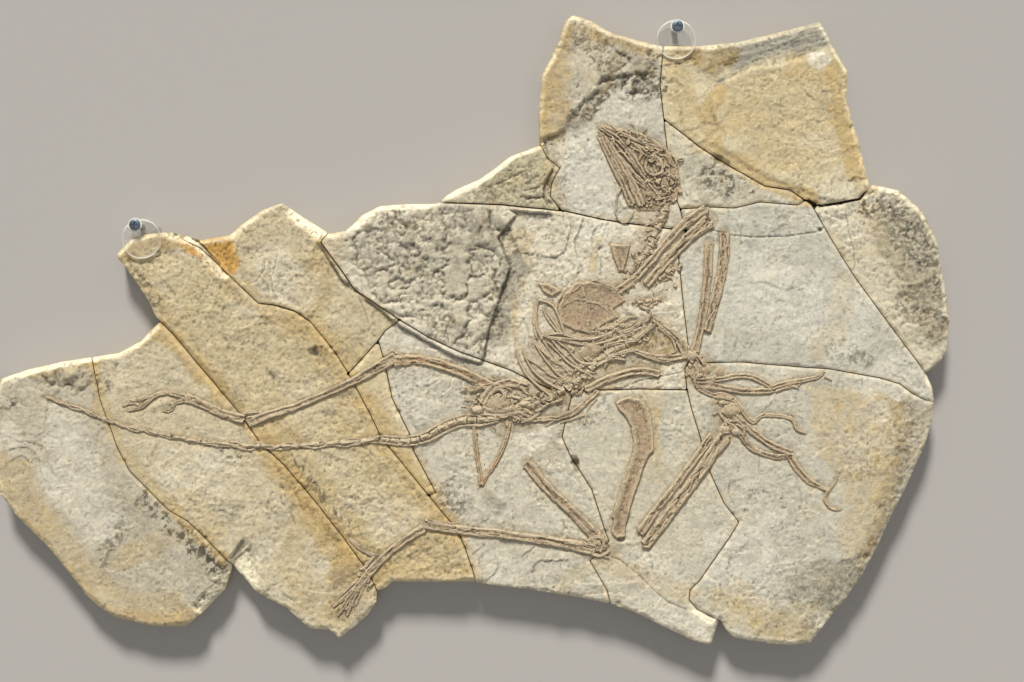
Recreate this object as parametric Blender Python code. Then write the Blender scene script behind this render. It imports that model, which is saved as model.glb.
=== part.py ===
"""A slab of pale lake mudstone with the skeleton of an early long-tailed bird lying in relief on it.

The slab lies on its back, as a broken and rejoined slab rests on a table. It is cut into its real
fragments along the breaks, and each bone lies on its upper face with a flat underside. Two clear
discs, each with a spacer and a screw, reach over the slab's edge to hold it to a wall.

Positions are read off one plan drawing: x runs right, y runs down the sheet, and one sheet unit is
SLAB_WIDTH divided by the width of the outline on the sheet. Heights and widths are in metres.
"""

import math
from collections import namedtuple

import bmesh
import bpy
from mathutils import Matrix, Vector

MM = 0.001

# Driving sizes of the slab
SLAB_WIDTH = 728 * MM
SLAB_THICKNESS = 22 * MM
EDGE_CHAMFER = 1.8 * MM
BREAK_WIDTH = 0.7 * MM
BED_SLOPE = 2.2 * MM
BED_FOOT_INSET = 0.4 * EDGE_CHAMFER
BED_TOP_INSET = 1.6 * EDGE_CHAMFER
BEDDING_ROOT = 6 * MM
LEVEL_FACE = 0.9

# Driving sizes of the bones
TOUCH_GAP = 0.3 * MM
CARVE_GAP = 0.35 * MM
CUTTER_REACH = 1.5 * MM
ARCH_STEPS = 6
SPAN_STEPS = 2
BLUNT_END = 0.55
END_REACH = 0.4
STEEPEST_RISE = 1.6
PLATE_EDGE_SLOPE = 0.6
DOME_STEPS = 12
DOME_LIFTS = (0, 40, 70)
SPOOL = ((0.10, 1.0), (0.50, 0.72), (0.86, 1.0))

# Driving sizes of the clear holders and their screws
HOLDER_RADIUS = 15 * MM
HOLDER_THICKNESS = 3 * MM
HOLDER_BEVEL = 0.5 * MM
SCREW_RADIUS = 2.0 * MM
SCREW_HEAD_RADIUS = 4.2 * MM
SCREW_HEAD_HEIGHT = 2.4 * MM
SCREW_HEAD_SHAPE = ((1, 0), (1, 0.35), (0.8, 0.8), (0.4, 1))
SLOT_SIZE = (4.8 * MM, 0.9 * MM)
SLOT_DEPTH = 1.2 * MM
SPACER_STEPS = 18
ROUND_STEPS = 32
SMOOTH_ANGLE = math.radians(35)

# Colour, roughness and metallic value
PALE_STONE = ((0.62, 0.58, 0.47), 0.9, 0.0)
TAN_STONE = ((0.56, 0.50, 0.37), 0.9, 0.0)
OCHRE_STONE = ((0.60, 0.49, 0.28), 0.9, 0.0)
BONE = ((0.43, 0.31, 0.21), 0.7, 0.0)
RUSTY_BONE = ((0.42, 0.24, 0.10), 0.75, 0.0)
ACRYLIC = ((0.85, 0.88, 0.86), 0.1, 0.0)
ZINC_STEEL = ((0.45, 0.48, 0.52), 0.35, 1.0)
RUSTY_BONES = {"femur_left", "pubes"}

# The slab's outer edge on the sheet, clockwise from its left end
OUTLINE = (
    (-6, 400), (0, 379), (25, 370), (60, 362), (92, 357), (118, 353), (140, 341), (158, 323),
    (148, 300), (131, 275), (115, 255), (132, 237), (152, 233), (172, 232), (200, 240), (229, 235),
    (238, 227), (262, 210), (282, 203), (304, 218), (330, 234), (346, 231), (362, 215), (380, 206),
    (405, 204), (436, 204), (455, 190), (480, 179), (496, 168), (511, 156), (540, 146), (539, 110),
    (542, 76), (553, 54), (560, 40), (565, 22), (573, 15), (592, 22), (612, 34), (640, 42), (663, 46),
    (700, 46), (737, 42), (780, 32), (821, 21), (835, 50), (848, 71), (846, 98), (858, 140),
    (869, 184), (899, 190), (921, 210), (938, 240), (941, 262), (946, 290), (950, 320), (947, 350),
    (941, 362), (926, 373), (932, 386), (935, 402), (933, 420), (925, 445), (911, 477), (893, 513),
    (877, 548), (861, 577), (845, 600), (826, 622), (811, 643), (792, 645), (770, 644), (735, 638),
    (728, 632), (720, 620), (716, 629), (711, 645), (694, 641), (662, 626), (636, 613), (611, 604),
    (580, 598), (546, 592), (500, 586), (470, 582), (430, 582), (392, 582), (386, 588), (377, 591),
    (376, 602), (368, 615), (354, 627), (339, 638), (329, 630), (310, 629), (295, 616), (285, 607),
    (268, 599), (252, 589), (231, 566), (224, 590), (204, 611), (185, 627), (150, 626), (115, 618),
    (98, 607), (84, 594), (63, 566), (44, 544), (22, 523), (0, 495), (-5, 470),
)

# Breaks that go right through: route on the sheet, and width
BREAKS = {
    "tail_tip": ((88, 346), (93, 365), (100, 400), (107, 420), (118, 450), (130, 472), (150, 492),
                 (168, 510), (187, 521), (207, 540), (222, 556), (233, 568)),
    "left": ((154, 315), (175, 337), (200, 367), (238, 412), (262, 445), (284, 465), (318, 505),
             (345, 540), (367, 570), (372, 580), (378, 594)),
    "band": ((170, 226), (182, 239), (200, 248), (215, 262), (233, 279), (258, 303), (275, 305),
             (295, 311), (310, 321), (335, 352), (348, 373), (368, 410), (380, 435), (392, 451),
             (428, 495), (457, 530), (465, 548), (472, 568), (478, 590)),
    "shoulder": ((333, 228), (321, 242), (345, 275), (355, 290), (375, 303), (400, 320), (430, 338),
                 (460, 352), (510, 370), (530, 380), (548, 388), (573, 391), (640, 389), (688, 390)),
    "knee_link": ((401, 319), (385, 331), (378, 341), (347, 375)),
    "strip": ((378, 340), (384, 360), (392, 398), (409, 433), (414, 452), (436, 493), (427, 496)),
    "hip": ((573, 390), (562, 437), (570, 455), (592, 490), (605, 530), (609, 541), (590, 561),
            (607, 590), (613, 612)),
    "mid_line": ((664, 38), (660, 85), (664, 120), (668, 155), (676, 197), (687, 231), (678, 250),
                 (684, 310), (690, 358), (685, 369), (687, 390), (692, 410), (703, 446), (710, 472),
                 (724, 503), (739, 522), (730, 537), (700, 580), (690, 590), (689, 600), (698, 610),
                 (722, 622)),
    "brow": ((664, 119), (700, 147), (728, 165), (765, 186), (790, 190), (811, 204)),
    "nape": ((680, 209), (710, 207), (735, 208), (760, 202), (798, 205), (806, 200), (811, 204)),
    "right": ((810, 202), (832, 240), (855, 277), (885, 318), (915, 358), (928, 376)),
    "wrist": ((686, 366), (702, 363), (740, 362), (800, 367), (830, 369), (880, 378), (900, 384),
              (912, 393), (925, 400), (942, 403)),
    "ledge": ((430, 199), (442, 203), (500, 205), (530, 208), (565, 211), (600, 219), (625, 223),
              (688, 231)),
    "cheek": ((538, 139), (547, 158), (560, 168), (552, 182), (550, 196), (563, 212)),
    "corner_gap": ((808, 200), (820, 206), (840, 203), (860, 199), (868, 188), (873, 180)),
}
WIDE_BREAKS = {"corner_gap": 2.0 * MM, "ledge": 1.0 * MM, "shoulder": 0.9 * MM}

# One sheet point inside each fragment, and the stone's tone there
FRAGMENTS = {
    "slab_tail_tip": ((60, 470), TAN_STONE), "slab_left": ((170, 470), TAN_STONE),
    "slab_band": ((270, 350), OCHRE_STONE), "slab_shoulder": ((300, 270), TAN_STONE),
    "slab_strip": ((378, 395), OCHRE_STONE), "slab_pelvis": ((480, 470), PALE_STONE),
    "slab_wing": ((660, 450), PALE_STONE), "slab_breast": ((520, 260), PALE_STONE),
    "slab_wedge": ((500, 190), PALE_STONE), "slab_head": ((590, 180), PALE_STONE),
    "slab_top_corner": ((780, 110), OCHRE_STONE), "slab_nape": ((740, 190), PALE_STONE),
    "slab_right": ((760, 290), PALE_STONE), "slab_right_edge": ((900, 260), PALE_STONE),
    "slab_lower_right": ((830, 480), OCHRE_STONE),
}

# Beds that stand above the bone level, and one that lies below it: rise, and edge on the sheet
BEDS = {
    "breast_bed": (3.6 * MM, (
        (326, 222), (346, 222), (380, 196), (440, 196), (500, 200), (519, 215), (500, 238), (512, 268),
        (500, 300), (490, 332), (484, 366), (455, 358), (400, 328), (372, 306), (340, 280), (318, 244))),
    "wedge_bed": (3.4 * MM, (
        (428, 206), (455, 182), (500, 158), (545, 140), (550, 160), (556, 168), (547, 182), (545, 198),
        (556, 216), (500, 212))),
    "head_bed": (4.4 * MM, (
        (530, 148), (530, 80), (556, 10), (580, 5), (612, 26), (651, 36), (652, 76), (630, 79),
        (608, 82), (592, 100), (576, 116), (570, 134), (555, 140))),
    "corner_bed": (2.4 * MM, (
        (716, 82), (745, 66), (800, 55), (838, 44), (860, 90), (882, 190), (850, 208), (815, 200),
        (765, 180), (730, 160), (706, 144), (715, 128), (707, 106))),
}
SUNK_CORNER = (6 * MM, ((176, 222), (246, 222), (236, 250), (236, 284), (214, 268), (196, 250)))

Tube = namedtuple("Tube", "path widths rise ring", defaults=(False,))
Chain = namedtuple("Chain", "path count widths rises")
Dome = namedtuple("Dome", "centre radii rise turn", defaults=(0.0,))
Plate = namedtuple("Plate", "edge rise")

RIB_WIDTHS = (2.4, 2.2, 2.0, 1.4)
RIB_RISE = 1.5


def rib(*path):
    """A rib as a thin tube that tapers away from its root."""
    return Tube(path, RIB_WIDTHS, RIB_RISE)


# Bones, uppermost first: paths on the sheet, widths and rises in millimetres
BONES = {
    "skull": (
        Tube(((599, 151), (612, 165), (624, 183), (636, 203)), (4, 5.5, 6.5, 7), 3.2),
        Tube(((600, 137), (618, 151), (636, 171), (652, 196)), (7, 10, 11, 10), 3.6),
        Tube(((598, 126), (620, 131), (642, 139), (661, 153), (673, 173), (678, 191)),
             (3.5, 6, 9, 10, 9, 8), 4.2),
        Dome((655, 178), (17, 22), 4.8, -35)),
    "scapula_right": (
        Tube(((618, 291), (634, 279), (650, 262), (667, 242), (684, 224), (706, 209)),
             (6, 6.5, 6.5, 6.5, 7, 8), 3.4),),
    "humerus_right": (
        Tube(((646, 285), (662, 266), (678, 249), (694, 233), (710, 221)), (7, 7.5, 7.5, 9, 12), 3.2),),
    "neck": (Chain(((666, 203), (663, 217), (656, 232), (650, 247), (639, 262)), 7, (9, 8), (3.4, 3.0)),),
    "radius_right": (
        Tube(((724, 233), (724, 255), (719, 285), (713, 308), (707, 331)), (8, 8, 7.5, 7, 6.5), 2.8),),
    "ulna_right": (
        Tube(((709, 243), (708, 270), (705, 300), (701, 325), (695, 352)), (7, 7, 6.5, 6, 7), 2.6),),
    "furcula": (
        Tube(((653, 319), (666, 329), (677, 340), (685, 354)), (4.5, 5, 5, 5.5), 2.6),
        Tube(((634, 351), (650, 356), (668, 358), (686, 355)), (3.5, 4.5, 5, 5.5), 2.4)),
    "hand_right": (
        Dome((695, 370), (8, 11), 2.6, 10),
        Tube(((696, 381), (715, 380), (735, 376), (752, 377), (772, 387)), (5, 4.5, 4, 4, 4.5), 2.4),
        Tube(((696, 384), (720, 387), (745, 391), (771, 391)), (6, 5.5, 5, 5), 2.6),
        Tube(((770, 388), (787, 383), (803, 380), (817, 377), (824, 371)), (4.5, 4, 3.5, 3, 1.4), 2.0),
        Tube(((766, 391), (784, 388), (800, 385)), (4, 3, 1.2), 1.8),
        Tube(((697, 386), (712, 395), (727, 395), (739, 405), (752, 422), (764, 415), (790, 418),
              (797, 429), (806, 433)), (5, 4, 4, 4, 3.4, 3, 3, 3, 1), 2.0)),
    "hand_left": (
        Dome((731, 410), (9, 8), 3.0, 20),
        Tube(((729, 411), (736, 417), (752, 431), (772, 445), (791, 453)), (6, 6, 5.5, 5, 5.5), 2.8),
        Tube(((724, 423), (738, 432), (748, 445), (762, 453), (778, 457), (790, 455)),
             (7, 5, 5, 4.5, 4.5, 5), 2.6),
        Tube(((789, 454), (797, 468), (808, 480), (819, 486), (830, 490)), (6, 6, 5.5, 4, 3), 2.4),
        Tube(((829, 489), (825, 499), (831, 508), (841, 510)), (3, 3, 2.4, 1), 1.8),
        Tube(((828, 490), (835, 483), (838, 474)), (2.4, 2, 1), 1.4)),
    "ulna_left": (
        Tube(((727, 440), (713, 460), (697, 482), (679, 505), (660, 529), (644, 546)),
             (13, 11, 10, 10, 10, 9), 3.6),),
    "radius_left": (
        Tube(((710, 432), (697, 450), (683, 469), (665, 492), (650, 511), (638, 531)),
             (7, 5.5, 5.5, 5.5, 6, 8), 3.0),),
    "humerus_left": (
        Tube(((629, 399), (635, 412), (641, 430), (643, 447), (637, 464), (629, 482), (622, 502),
              (616, 520), (614, 534)), (18, 26, 19, 18, 12, 9, 8.5, 10, 12.5), 3.0),),
    "coracoid_left": (
        Plate(((609, 244), (631, 244), (628, 258), (624, 272), (618, 272), (613, 258)), 1.8),),
    "sternum": (
        Plate(((557, 309), (563, 295), (576, 282), (590, 281), (606, 284), (620, 292), (626, 301),
               (614, 309), (619, 317), (604, 325), (590, 333), (575, 331), (561, 324)), 2.2),),
    "sternal_process": (Plate(((537, 282), (549, 283), (562, 291), (552, 297), (543, 293)), 1.8),),
    "ribs_right": (
        rib((612, 333), (592, 339), (570, 339), (541, 336)),
        rib((641, 328), (608, 341), (585, 345), (558, 339)),
        rib((582, 340), (563, 334), (555, 324), (545, 310)),
        rib((542, 339), (537, 328), (536, 315), (538, 299)),
        rib((565, 336), (560, 320), (552, 305), (537, 300))),
    "shoulder_vertebra_upper": (Chain(((674, 267), (659, 280)), 2, (8, 7.5), (3.0, 2.8)),),
    "shoulder_vertebra_lower": (Chain(((661, 299), (637, 303)), 3, (6.5, 6), (2.6, 2.4)),),
    "trunk": (
        Chain(((582, 378), (598, 361), (613, 350), (629, 342), (644, 333)), 6, (10, 9), (3.6, 3.2)),
        rib((594, 364), (580, 362), (568, 350), (557, 341)),
        rib((588, 374), (570, 364), (558, 352), (547, 342))),
    "sacrum": (
        Chain(((514, 411), (530, 405), (548, 398), (565, 389), (581, 379)), 7, (9, 10), (3.4, 3.6)),
        rib((572, 386), (556, 372), (544, 358), (535, 344)),
        rib((563, 391), (545, 381), (531, 368), (523, 351)),
        rib((552, 397), (536, 384), (524, 371), (517, 355))),
    "scapula_left": (
        Tube(((586, 390), (606, 380), (622, 374), (640, 371), (660, 374)), (5.5, 6.5, 6, 6, 5), 2.8),),
    "pelvis": (
        Tube(((491, 395), (498, 388), (505, 395), (498, 402)), (3.4,) * 4, 4.0, True),
        Dome((497, 404), (15, 12), 3.0, 0),
        Tube(((482, 404), (492, 389), (510, 383), (527, 387)), (6, 8, 7, 5), 3.6),
        Tube(((484, 411), (500, 413), (518, 410), (532, 416)), (6, 9, 8, 5), 3.8)),
    "femur_left": (
        Tube(((394, 361), (420, 360), (447, 367), (470, 376), (491, 388)), (9.5, 8, 8, 8.5, 9.5), 3.2),),
    "tibia_left": (
        Tube(((248, 422), (275, 413), (300, 405), (330, 392), (355, 380), (375, 369), (396, 357)),
             (8, 6.5, 5.5, 5.5, 6.5, 8, 9), 3.0),),
    "foot_left": (
        Tube(((244, 419), (222, 413), (200, 403), (186, 398)), (8, 6.5, 6.5, 7), 2.6),
        Tube(((189, 399), (173, 394), (161, 393), (150, 399), (142, 407), (128, 411)),
             (5.5, 3.6, 3.6, 3, 2.8, 1.2), 2.0),
        Tube(((153, 398), (142, 405), (132, 403), (123, 406)), (3, 2.6, 2.2, 1.0), 1.8),
        Tube(((187, 400), (175, 403), (171, 410), (163, 411)), (5, 3, 2.6, 1.2), 1.8)),
    "tibia_right": (
        Tube(((592, 549), (560, 543), (530, 538), (500, 534), (470, 531), (440, 527), (424, 524)),
             (10, 8.5, 7, 7, 7, 7, 8), 3.0),),
    "femur_right": (
        Tube(((528, 464), (545, 485), (565, 505), (585, 525), (600, 541)), (9, 8.5, 8, 9, 10), 3.0),),
    "foot_right": (
        Tube(((424, 528), (405, 540), (390, 552), (378, 563), (368, 574)), (7, 6, 6, 6, 7), 2.6),
        Tube(((350, 538), (359, 546), (370, 554), (384, 558)), (2, 3, 3, 3), 2.0),
        Tube(((370, 572), (358, 586), (348, 600), (338, 616)), (6.5, 5, 4, 1.4), 2.2),
        Tube(((366, 577), (358, 590), (351, 604), (347, 616)), (4, 3.6, 3.2, 1.2), 2.0),
        Tube(((355, 588), (344, 598), (333, 607)), (4, 3, 1.0), 2.0)),
    "ischium": (
        Tube(((521, 421), (540, 419), (560, 418), (575, 411), (588, 400), (598, 391)),
             (3.5, 4, 4.5, 5, 5, 4), 2.4),),
    "pubes": (
        Tube(((474, 425), (476, 450), (480, 472), (481, 485)), (3, 2.6, 3, 3.5), 2.0),
        Tube(((509, 422), (506, 440), (497, 460), (487, 475), (481, 485)), (4, 3, 2.8, 3, 3.5), 2.0)),
    "tail_base": (
        Chain(((497, 417), (480, 420), (458, 421), (440, 429), (424, 437), (408, 441), (380, 439)),
              9, (9.5, 8), (3.2, 2.8)),),
    "tail_middle": (
        Chain(((380, 439), (350, 442), (320, 444), (290, 446), (260, 446), (235, 445), (201, 442)),
              8, (7.6, 5.8), (2.8, 2.2)),),
    "tail_tip": (
        Chain(((201, 442), (185, 439), (165, 435), (145, 431), (125, 426), (108, 421), (90, 413),
               (70, 406), (46, 397)), 9, (5.8, 1.8), (2.2, 1.0)),),
}

# Screw centre and disc centre of each clear holder on the sheet, and how far from the disc's centre,
# towards the screw, its spacer begins
HOLDERS = {"top": ((677, 27), (676, 40), -3.2 * MM), "left": ((136, 225), (142, 239), 5.6 * MM)}

SHEET_LEFT = min(x for x, _ in OUTLINE)
SHEET_RIGHT = max(x for x, _ in OUTLINE)
SHEET_TOP = min(y for _, y in OUTLINE)
SHEET_FOOT = max(y for _, y in OUTLINE)
SHEET_UNIT = SLAB_WIDTH / (SHEET_RIGHT - SHEET_LEFT)
BONE_FLOOR = SLAB_THICKNESS + TOUCH_GAP


def on_slab(point):
    """The sheet point in metres, with the slab's middle as the origin."""
    x, y = point
    return Vector(((x - (SHEET_LEFT + SHEET_RIGHT) / 2) * SHEET_UNIT,
                   ((SHEET_TOP + SHEET_FOOT) / 2 - y) * SHEET_UNIT))


def clear_scene():
    """Removes what the startup file holds."""
    for obj in list(bpy.data.objects):
        bpy.data.objects.remove(obj)


def add_object(name, bm):
    """Turns a bmesh into a linked object with its faces outward."""
    bmesh.ops.recalc_face_normals(bm, faces=bm.faces)
    mesh = bpy.data.meshes.new(name)
    bm.to_mesh(mesh)
    bm.free()
    obj = bpy.data.objects.new(name, mesh)
    bpy.context.scene.collection.objects.link(obj)
    return obj


def remove_objects(objects):
    """Deletes helper objects once their shape has been used."""
    for obj in objects:
        bpy.data.objects.remove(obj)


def combine(base, others, operation):
    """Applies one Boolean of a collection of closed helpers to the base, then removes them."""
    helpers = bpy.data.collections.new(base.name + "_helpers")
    for other in others:
        helpers.objects.link(other)
    boolean = base.modifiers.new("combine", "BOOLEAN")
    boolean.operand_type = "COLLECTION"
    boolean.collection = helpers
    boolean.operation = operation
    boolean.solver = "EXACT"
    bpy.context.view_layer.update()
    evaluated = base.evaluated_get(bpy.context.evaluated_depsgraph_get())
    base.data = bpy.data.meshes.new_from_object(evaluated)
    base.modifiers.clear()
    remove_objects(others)
    bpy.data.collections.remove(helpers)
    return base


def islands(bm):
    """The connected groups of faces, largest by volume first."""
    left = set(bm.faces)
    groups = []
    while left:
        group = set()
        waiting = [left.pop()]
        while waiting:
            face = waiting.pop()
            group.add(face)
            for near in {near for edge in face.edges for near in edge.link_faces} & left:
                left.remove(near)
                waiting.append(near)
        groups.append(group)
    return sorted(groups, key=volume_inside, reverse=True)


def volume_inside(faces):
    """The volume that a closed group of flat faces holds."""
    total = 0.0
    for face in faces:
        corner, *others = [vert.co for vert in face.verts]
        for one, two in zip(others, others[1:]):
            total += corner.dot(one.cross(two)) / 6
    return total


def keep_largest(obj):
    """Drops every loose scrap that a cut has left."""
    bm = bmesh.new()
    bm.from_mesh(obj.data)
    for group in islands(bm)[1:]:
        bmesh.ops.delete(bm, geom=list(group), context="FACES")
    bm.to_mesh(obj.data)
    bm.free()


def finish(obj, tone, parent):
    """Puts the object's origin in the middle of its foot, and gives it its own material."""
    x0, x1, y0, y1 = reach_of(obj)
    middle = Vector(((x0 + x1) / 2, (y0 + y1) / 2, 0))
    obj.data.transform(Matrix.Translation(-middle))
    obj.location += middle
    obj.parent = parent
    colour, roughness, metallic = tone
    made = bpy.data.materials.new(obj.name)
    made.use_nodes = True
    shader = made.node_tree.nodes["Principled BSDF"]
    shader.inputs["Base Color"].default_value = (*colour, 1)
    shader.inputs["Roughness"].default_value = roughness
    shader.inputs["Metallic"].default_value = metallic
    obj.data.materials.clear()
    obj.data.materials.append(made)
    obj.data.shade_smooth()
    obj.data.set_sharp_from_angle(angle=SMOOTH_ANGLE)


def reach_of(obj):
    """The lowest and highest x and y of an object's mesh."""
    xs = [vert.co.x for vert in obj.data.vertices]
    ys = [vert.co.y for vert in obj.data.vertices]
    return min(xs), max(xs), min(ys), max(ys)


def meet(one, two):
    """Whether two objects' plan boxes cross."""
    ax0, ax1, ay0, ay1 = reach_of(one)
    bx0, bx1, by0, by1 = reach_of(two)
    return ax0 < bx1 and bx0 < ax1 and ay0 < by1 and by0 < ay1


def stack(name, loops, ring=False):
    """A closed body skinned over loops of points of one count, capped unless they form a ring."""
    bm = bmesh.new()
    rows = [[bm.verts.new(point) for point in loop] for loop in loops]
    pairs = list(zip(rows, rows[1:]))
    if ring:
        pairs.append((rows[-1], rows[0]))
    else:
        bm.faces.new(rows[0])
        bm.faces.new(rows[-1])
    for one, two in pairs:
        for k in range(len(one)):
            after = (k + 1) % len(one)
            bm.faces.new((one[k], one[after], two[after], two[k]))
    return add_object(name, bm)


def prism(name, outline, levels):
    """A closed body whose outline is moved outwards by each level's (distance, height)."""
    loops = []
    for distance, height in levels:
        loops.append([(*point, height) for point in offset_outline(outline, distance)])
    return stack(name, loops)


def offset_outline(points, distance):
    """The closed outline moved outwards by the distance."""
    following = [*points[1:], points[0]]
    turn = sum(one.x * two.y - two.x * one.y for one, two in zip(points, following))
    made = []
    for before, point, after in zip([points[-1], *points], points, following):
        first = (point - before).normalized()
        second = (after - point).normalized()
        outward = Vector((first.y + second.y, -first.x - second.x)).normalized()
        if turn < 0:
            outward.negate()
        stretch = max(0.5, abs(outward.dot(Vector((second.y, -second.x)))))
        made.append(point + outward * distance / stretch)
    return made


def turned(name, profile):
    """A closed body of revolution from a profile of (radius, height), foot to top."""
    bm = bmesh.new()
    foot, top = profile[0][1], profile[-1][1]
    verts = [bm.verts.new((radius, 0, height)) for radius, height in [(0, foot), *profile, (0, top)]]
    edges = [bm.edges.new(pair) for pair in zip(verts, verts[1:])]
    bmesh.ops.spin(bm, geom=verts + edges, cent=(0, 0, 0), axis=(0, 0, 1), angle=math.tau,
                   steps=ROUND_STEPS, use_merge=True)
    bmesh.ops.remove_doubles(bm, verts=bm.verts, dist=0.001 * MM)
    return add_object(name, bm)


def place_at(obj, point):
    """Moves a helper or part, built about its own axis, over a sheet point."""
    obj.data.transform(Matrix.Translation((*on_slab(point), 0)))
    return obj


def smooth_path(points, steps, ring=False):
    """Places along a smooth curve through the points, each with its span number."""
    count = len(points)
    spans = count if ring else count - 1
    made = []
    for span in range(spans):
        if ring:
            before, start, end, after = (points[(span + k) % count] for k in (-1, 0, 1, 2))
        else:
            before, start, end, after = (points[min(max(span + k, 0), spans)] for k in (-1, 0, 1, 2))
        for step in range(steps):
            t = step / steps
            bend = (2 * before - 5 * start + 4 * end - after) * t ** 2
            bend += (3 * start - before - 3 * end + after) * t ** 3
            made.append((span + t, 0.5 * (2 * start + (end - before) * t + bend)))
    if not ring:
        made.append((spans, points[-1].copy()))
    return made


def between(values, place):
    """The value at a fractional place in a list."""
    low = min(int(place), len(values) - 2)
    return values[low] + (values[low + 1] - values[low]) * (place - low)


def directions(places, ring=False):
    """The unit direction of the path at each place."""
    count = len(places)
    made = []
    for k in range(count):
        before = places[k - 1] if ring or k else places[0]
        after = places[(k + 1) % count] if ring or k < count - 1 else places[-1]
        made.append((after - before).normalized())
    return made


def arch(centre, direction, half, rise, grow):
    """A half-round section over a flat underside. A grown one, which only cuts, reaches lower."""
    across = Vector((-direction.y, direction.x)) * half
    points = []
    for k in range(ARCH_STEPS + 1):
        angle = math.pi * k / ARCH_STEPS
        points.append((*(centre + across * math.cos(angle)), BONE_FLOOR + rise * math.sin(angle)))
    if grow:
        for side in (-1, 1):
            points.append((*(centre + across * side), BONE_FLOOR - CUTTER_REACH))
    return points


def tube_body(name, shape, grow):
    """A bone shaft with blunt ends."""
    samples = smooth_path([on_slab(point) for point in shape.path], SPAN_STEPS, shape.ring)
    places = [place for _, place in samples]
    ways = directions(places, shape.ring)
    widths = [*shape.widths, shape.widths[0]] if shape.ring else shape.widths
    halves = [between(widths, span) * MM / 2 for span, _ in samples]
    rises = [min(shape.rise * MM, STEEPEST_RISE * half) for half in halves]
    sections = []
    for place, way, half, rise in zip(places, ways, halves, rises):
        sections.append([place, way, half + grow, rise + grow])
    if not shape.ring:
        for end, inward in ((0, 1), (-1, -1)):
            place, way, half, rise = sections[end]
            step = (places[inward - 1 if inward < 0 else inward] - place)
            sections[end][0] = place + way * inward * min(half * BLUNT_END, END_REACH * step.length)
            tip = [place - way * inward * grow, way, half * BLUNT_END + grow, rise * BLUNT_END + grow]
            sections.insert(0 if inward > 0 else len(sections), tip)
    return stack(name, [arch(*section, grow) for section in sections], shape.ring)


def chain_body(name, shape, grow):
    """A run of spool-shaped vertebrae: each is waisted in the middle and flares at its two ends."""
    places = [place for _, place in smooth_path([on_slab(point) for point in shape.path], 8)]
    lengths = [0.0]
    for one, two in zip(places, places[1:]):
        lengths.append(lengths[-1] + (two - one).length)
    centres = []
    sizes = []
    for k in range(shape.count):
        for share, flare in SPOOL:
            along = (k + share) / shape.count
            low = max(n for n, length in enumerate(lengths[:-1]) if length <= along * lengths[-1])
            rest = along * lengths[-1] - lengths[low]
            centres.append(places[low].lerp(places[low + 1], rest / (lengths[low + 1] - lengths[low])))
            sizes.append((between(shape.widths, along) * MM / 2 * flare + grow,
                          between(shape.rises, along) * MM * flare + grow))
    ways = directions(centres)
    centres[0] -= ways[0] * grow
    centres[-1] += ways[-1] * grow
    sections = zip(centres, ways, sizes)
    return stack(name, [arch(centre, way, *size, grow) for centre, way, size in sections])


def dome_body(name, shape, grow):
    """A low rounded lump."""
    turn = Matrix.Rotation(math.radians(shape.turn), 2)
    loops = []
    for lift in DOME_LIFTS:
        level = math.radians(lift)
        loop = []
        for k in range(DOME_STEPS):
            angle = math.tau * k / DOME_STEPS
            reach = Vector(((shape.radii[0] * SHEET_UNIT + grow) * math.cos(angle),
                            (shape.radii[1] * SHEET_UNIT + grow) * math.sin(angle))) * math.cos(level)
            height = BONE_FLOOR + (shape.rise * MM + grow) * math.sin(level)
            loop.append((*(on_slab(shape.centre) + turn @ reach), height))
        loops.append(loop)
    if grow:
        loops.insert(0, [(x, y, BONE_FLOOR - CUTTER_REACH) for x, y, _ in loops[0]])
    return stack(name, loops)


def plate_body(name, shape, grow):
    """A thin bone plate whose edge slopes. A grown copy has upright edges."""
    rise = shape.rise * MM
    foot = BONE_FLOOR - CUTTER_REACH if grow else BONE_FLOOR
    head = grow if grow else -PLATE_EDGE_SLOPE * rise
    levels = ((grow, foot), (head, BONE_FLOOR + rise + grow))
    return prism(name, [on_slab(point) for point in shape.edge], levels)


BODY_MAKERS = {Tube: tube_body, Chain: chain_body, Dome: dome_body, Plate: plate_body}


def bone_pieces(name, grow=0.0):
    """One closed object for each shape of a bone."""
    return [BODY_MAKERS[type(shape)](f"{name}_{k}", shape, grow) for k, shape in enumerate(BONES[name])]


def build_bones(parent):
    """All bones. Each is cut clear of the bones that lie over it."""
    above = []
    for name in BONES:
        first, *rest = bone_pieces(name)
        first.name = name
        bone = combine(first, rest, "UNION") if rest else first
        for other in above:
            if meet(bone, other):
                for cutter in bone_pieces(other.name, CARVE_GAP):
                    combine(bone, [cutter], "DIFFERENCE")
        keep_largest(bone)
        above.append(bone)
    for bone in above:
        finish(bone, RUSTY_BONE if bone.name in RUSTY_BONES else BONE, parent)


def slab_blank():
    """The whole slab, with a chamfered upper edge, its raised beds and its sunk corner."""
    outline = [on_slab(point) for point in OUTLINE]
    slab = prism("slab_blank", outline, (
        (0, 0), (0, SLAB_THICKNESS - EDGE_CHAMFER), (-EDGE_CHAMFER, SLAB_THICKNESS)))
    for name, (rise, edge) in BEDS.items():
        top = SLAB_THICKNESS + rise
        root = SLAB_THICKNESS - BEDDING_ROOT
        bed = prism(name, [on_slab(point) for point in edge], ((0, root), (-BED_SLOPE, top)))
        bound = prism(name + "_bound", outline, (
            (-BED_FOOT_INSET, root - CUTTER_REACH), (-BED_TOP_INSET, top + CUTTER_REACH)))
        combine(bed, [bound], "INTERSECT")
        combine(slab, [bed], "UNION")
    depth, edge = SUNK_CORNER
    sink = prism("sink", [on_slab(point) for point in edge], (
        (0, SLAB_THICKNESS - depth), (0, SLAB_THICKNESS + depth)))
    return combine(slab, [sink], "DIFFERENCE")


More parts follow.
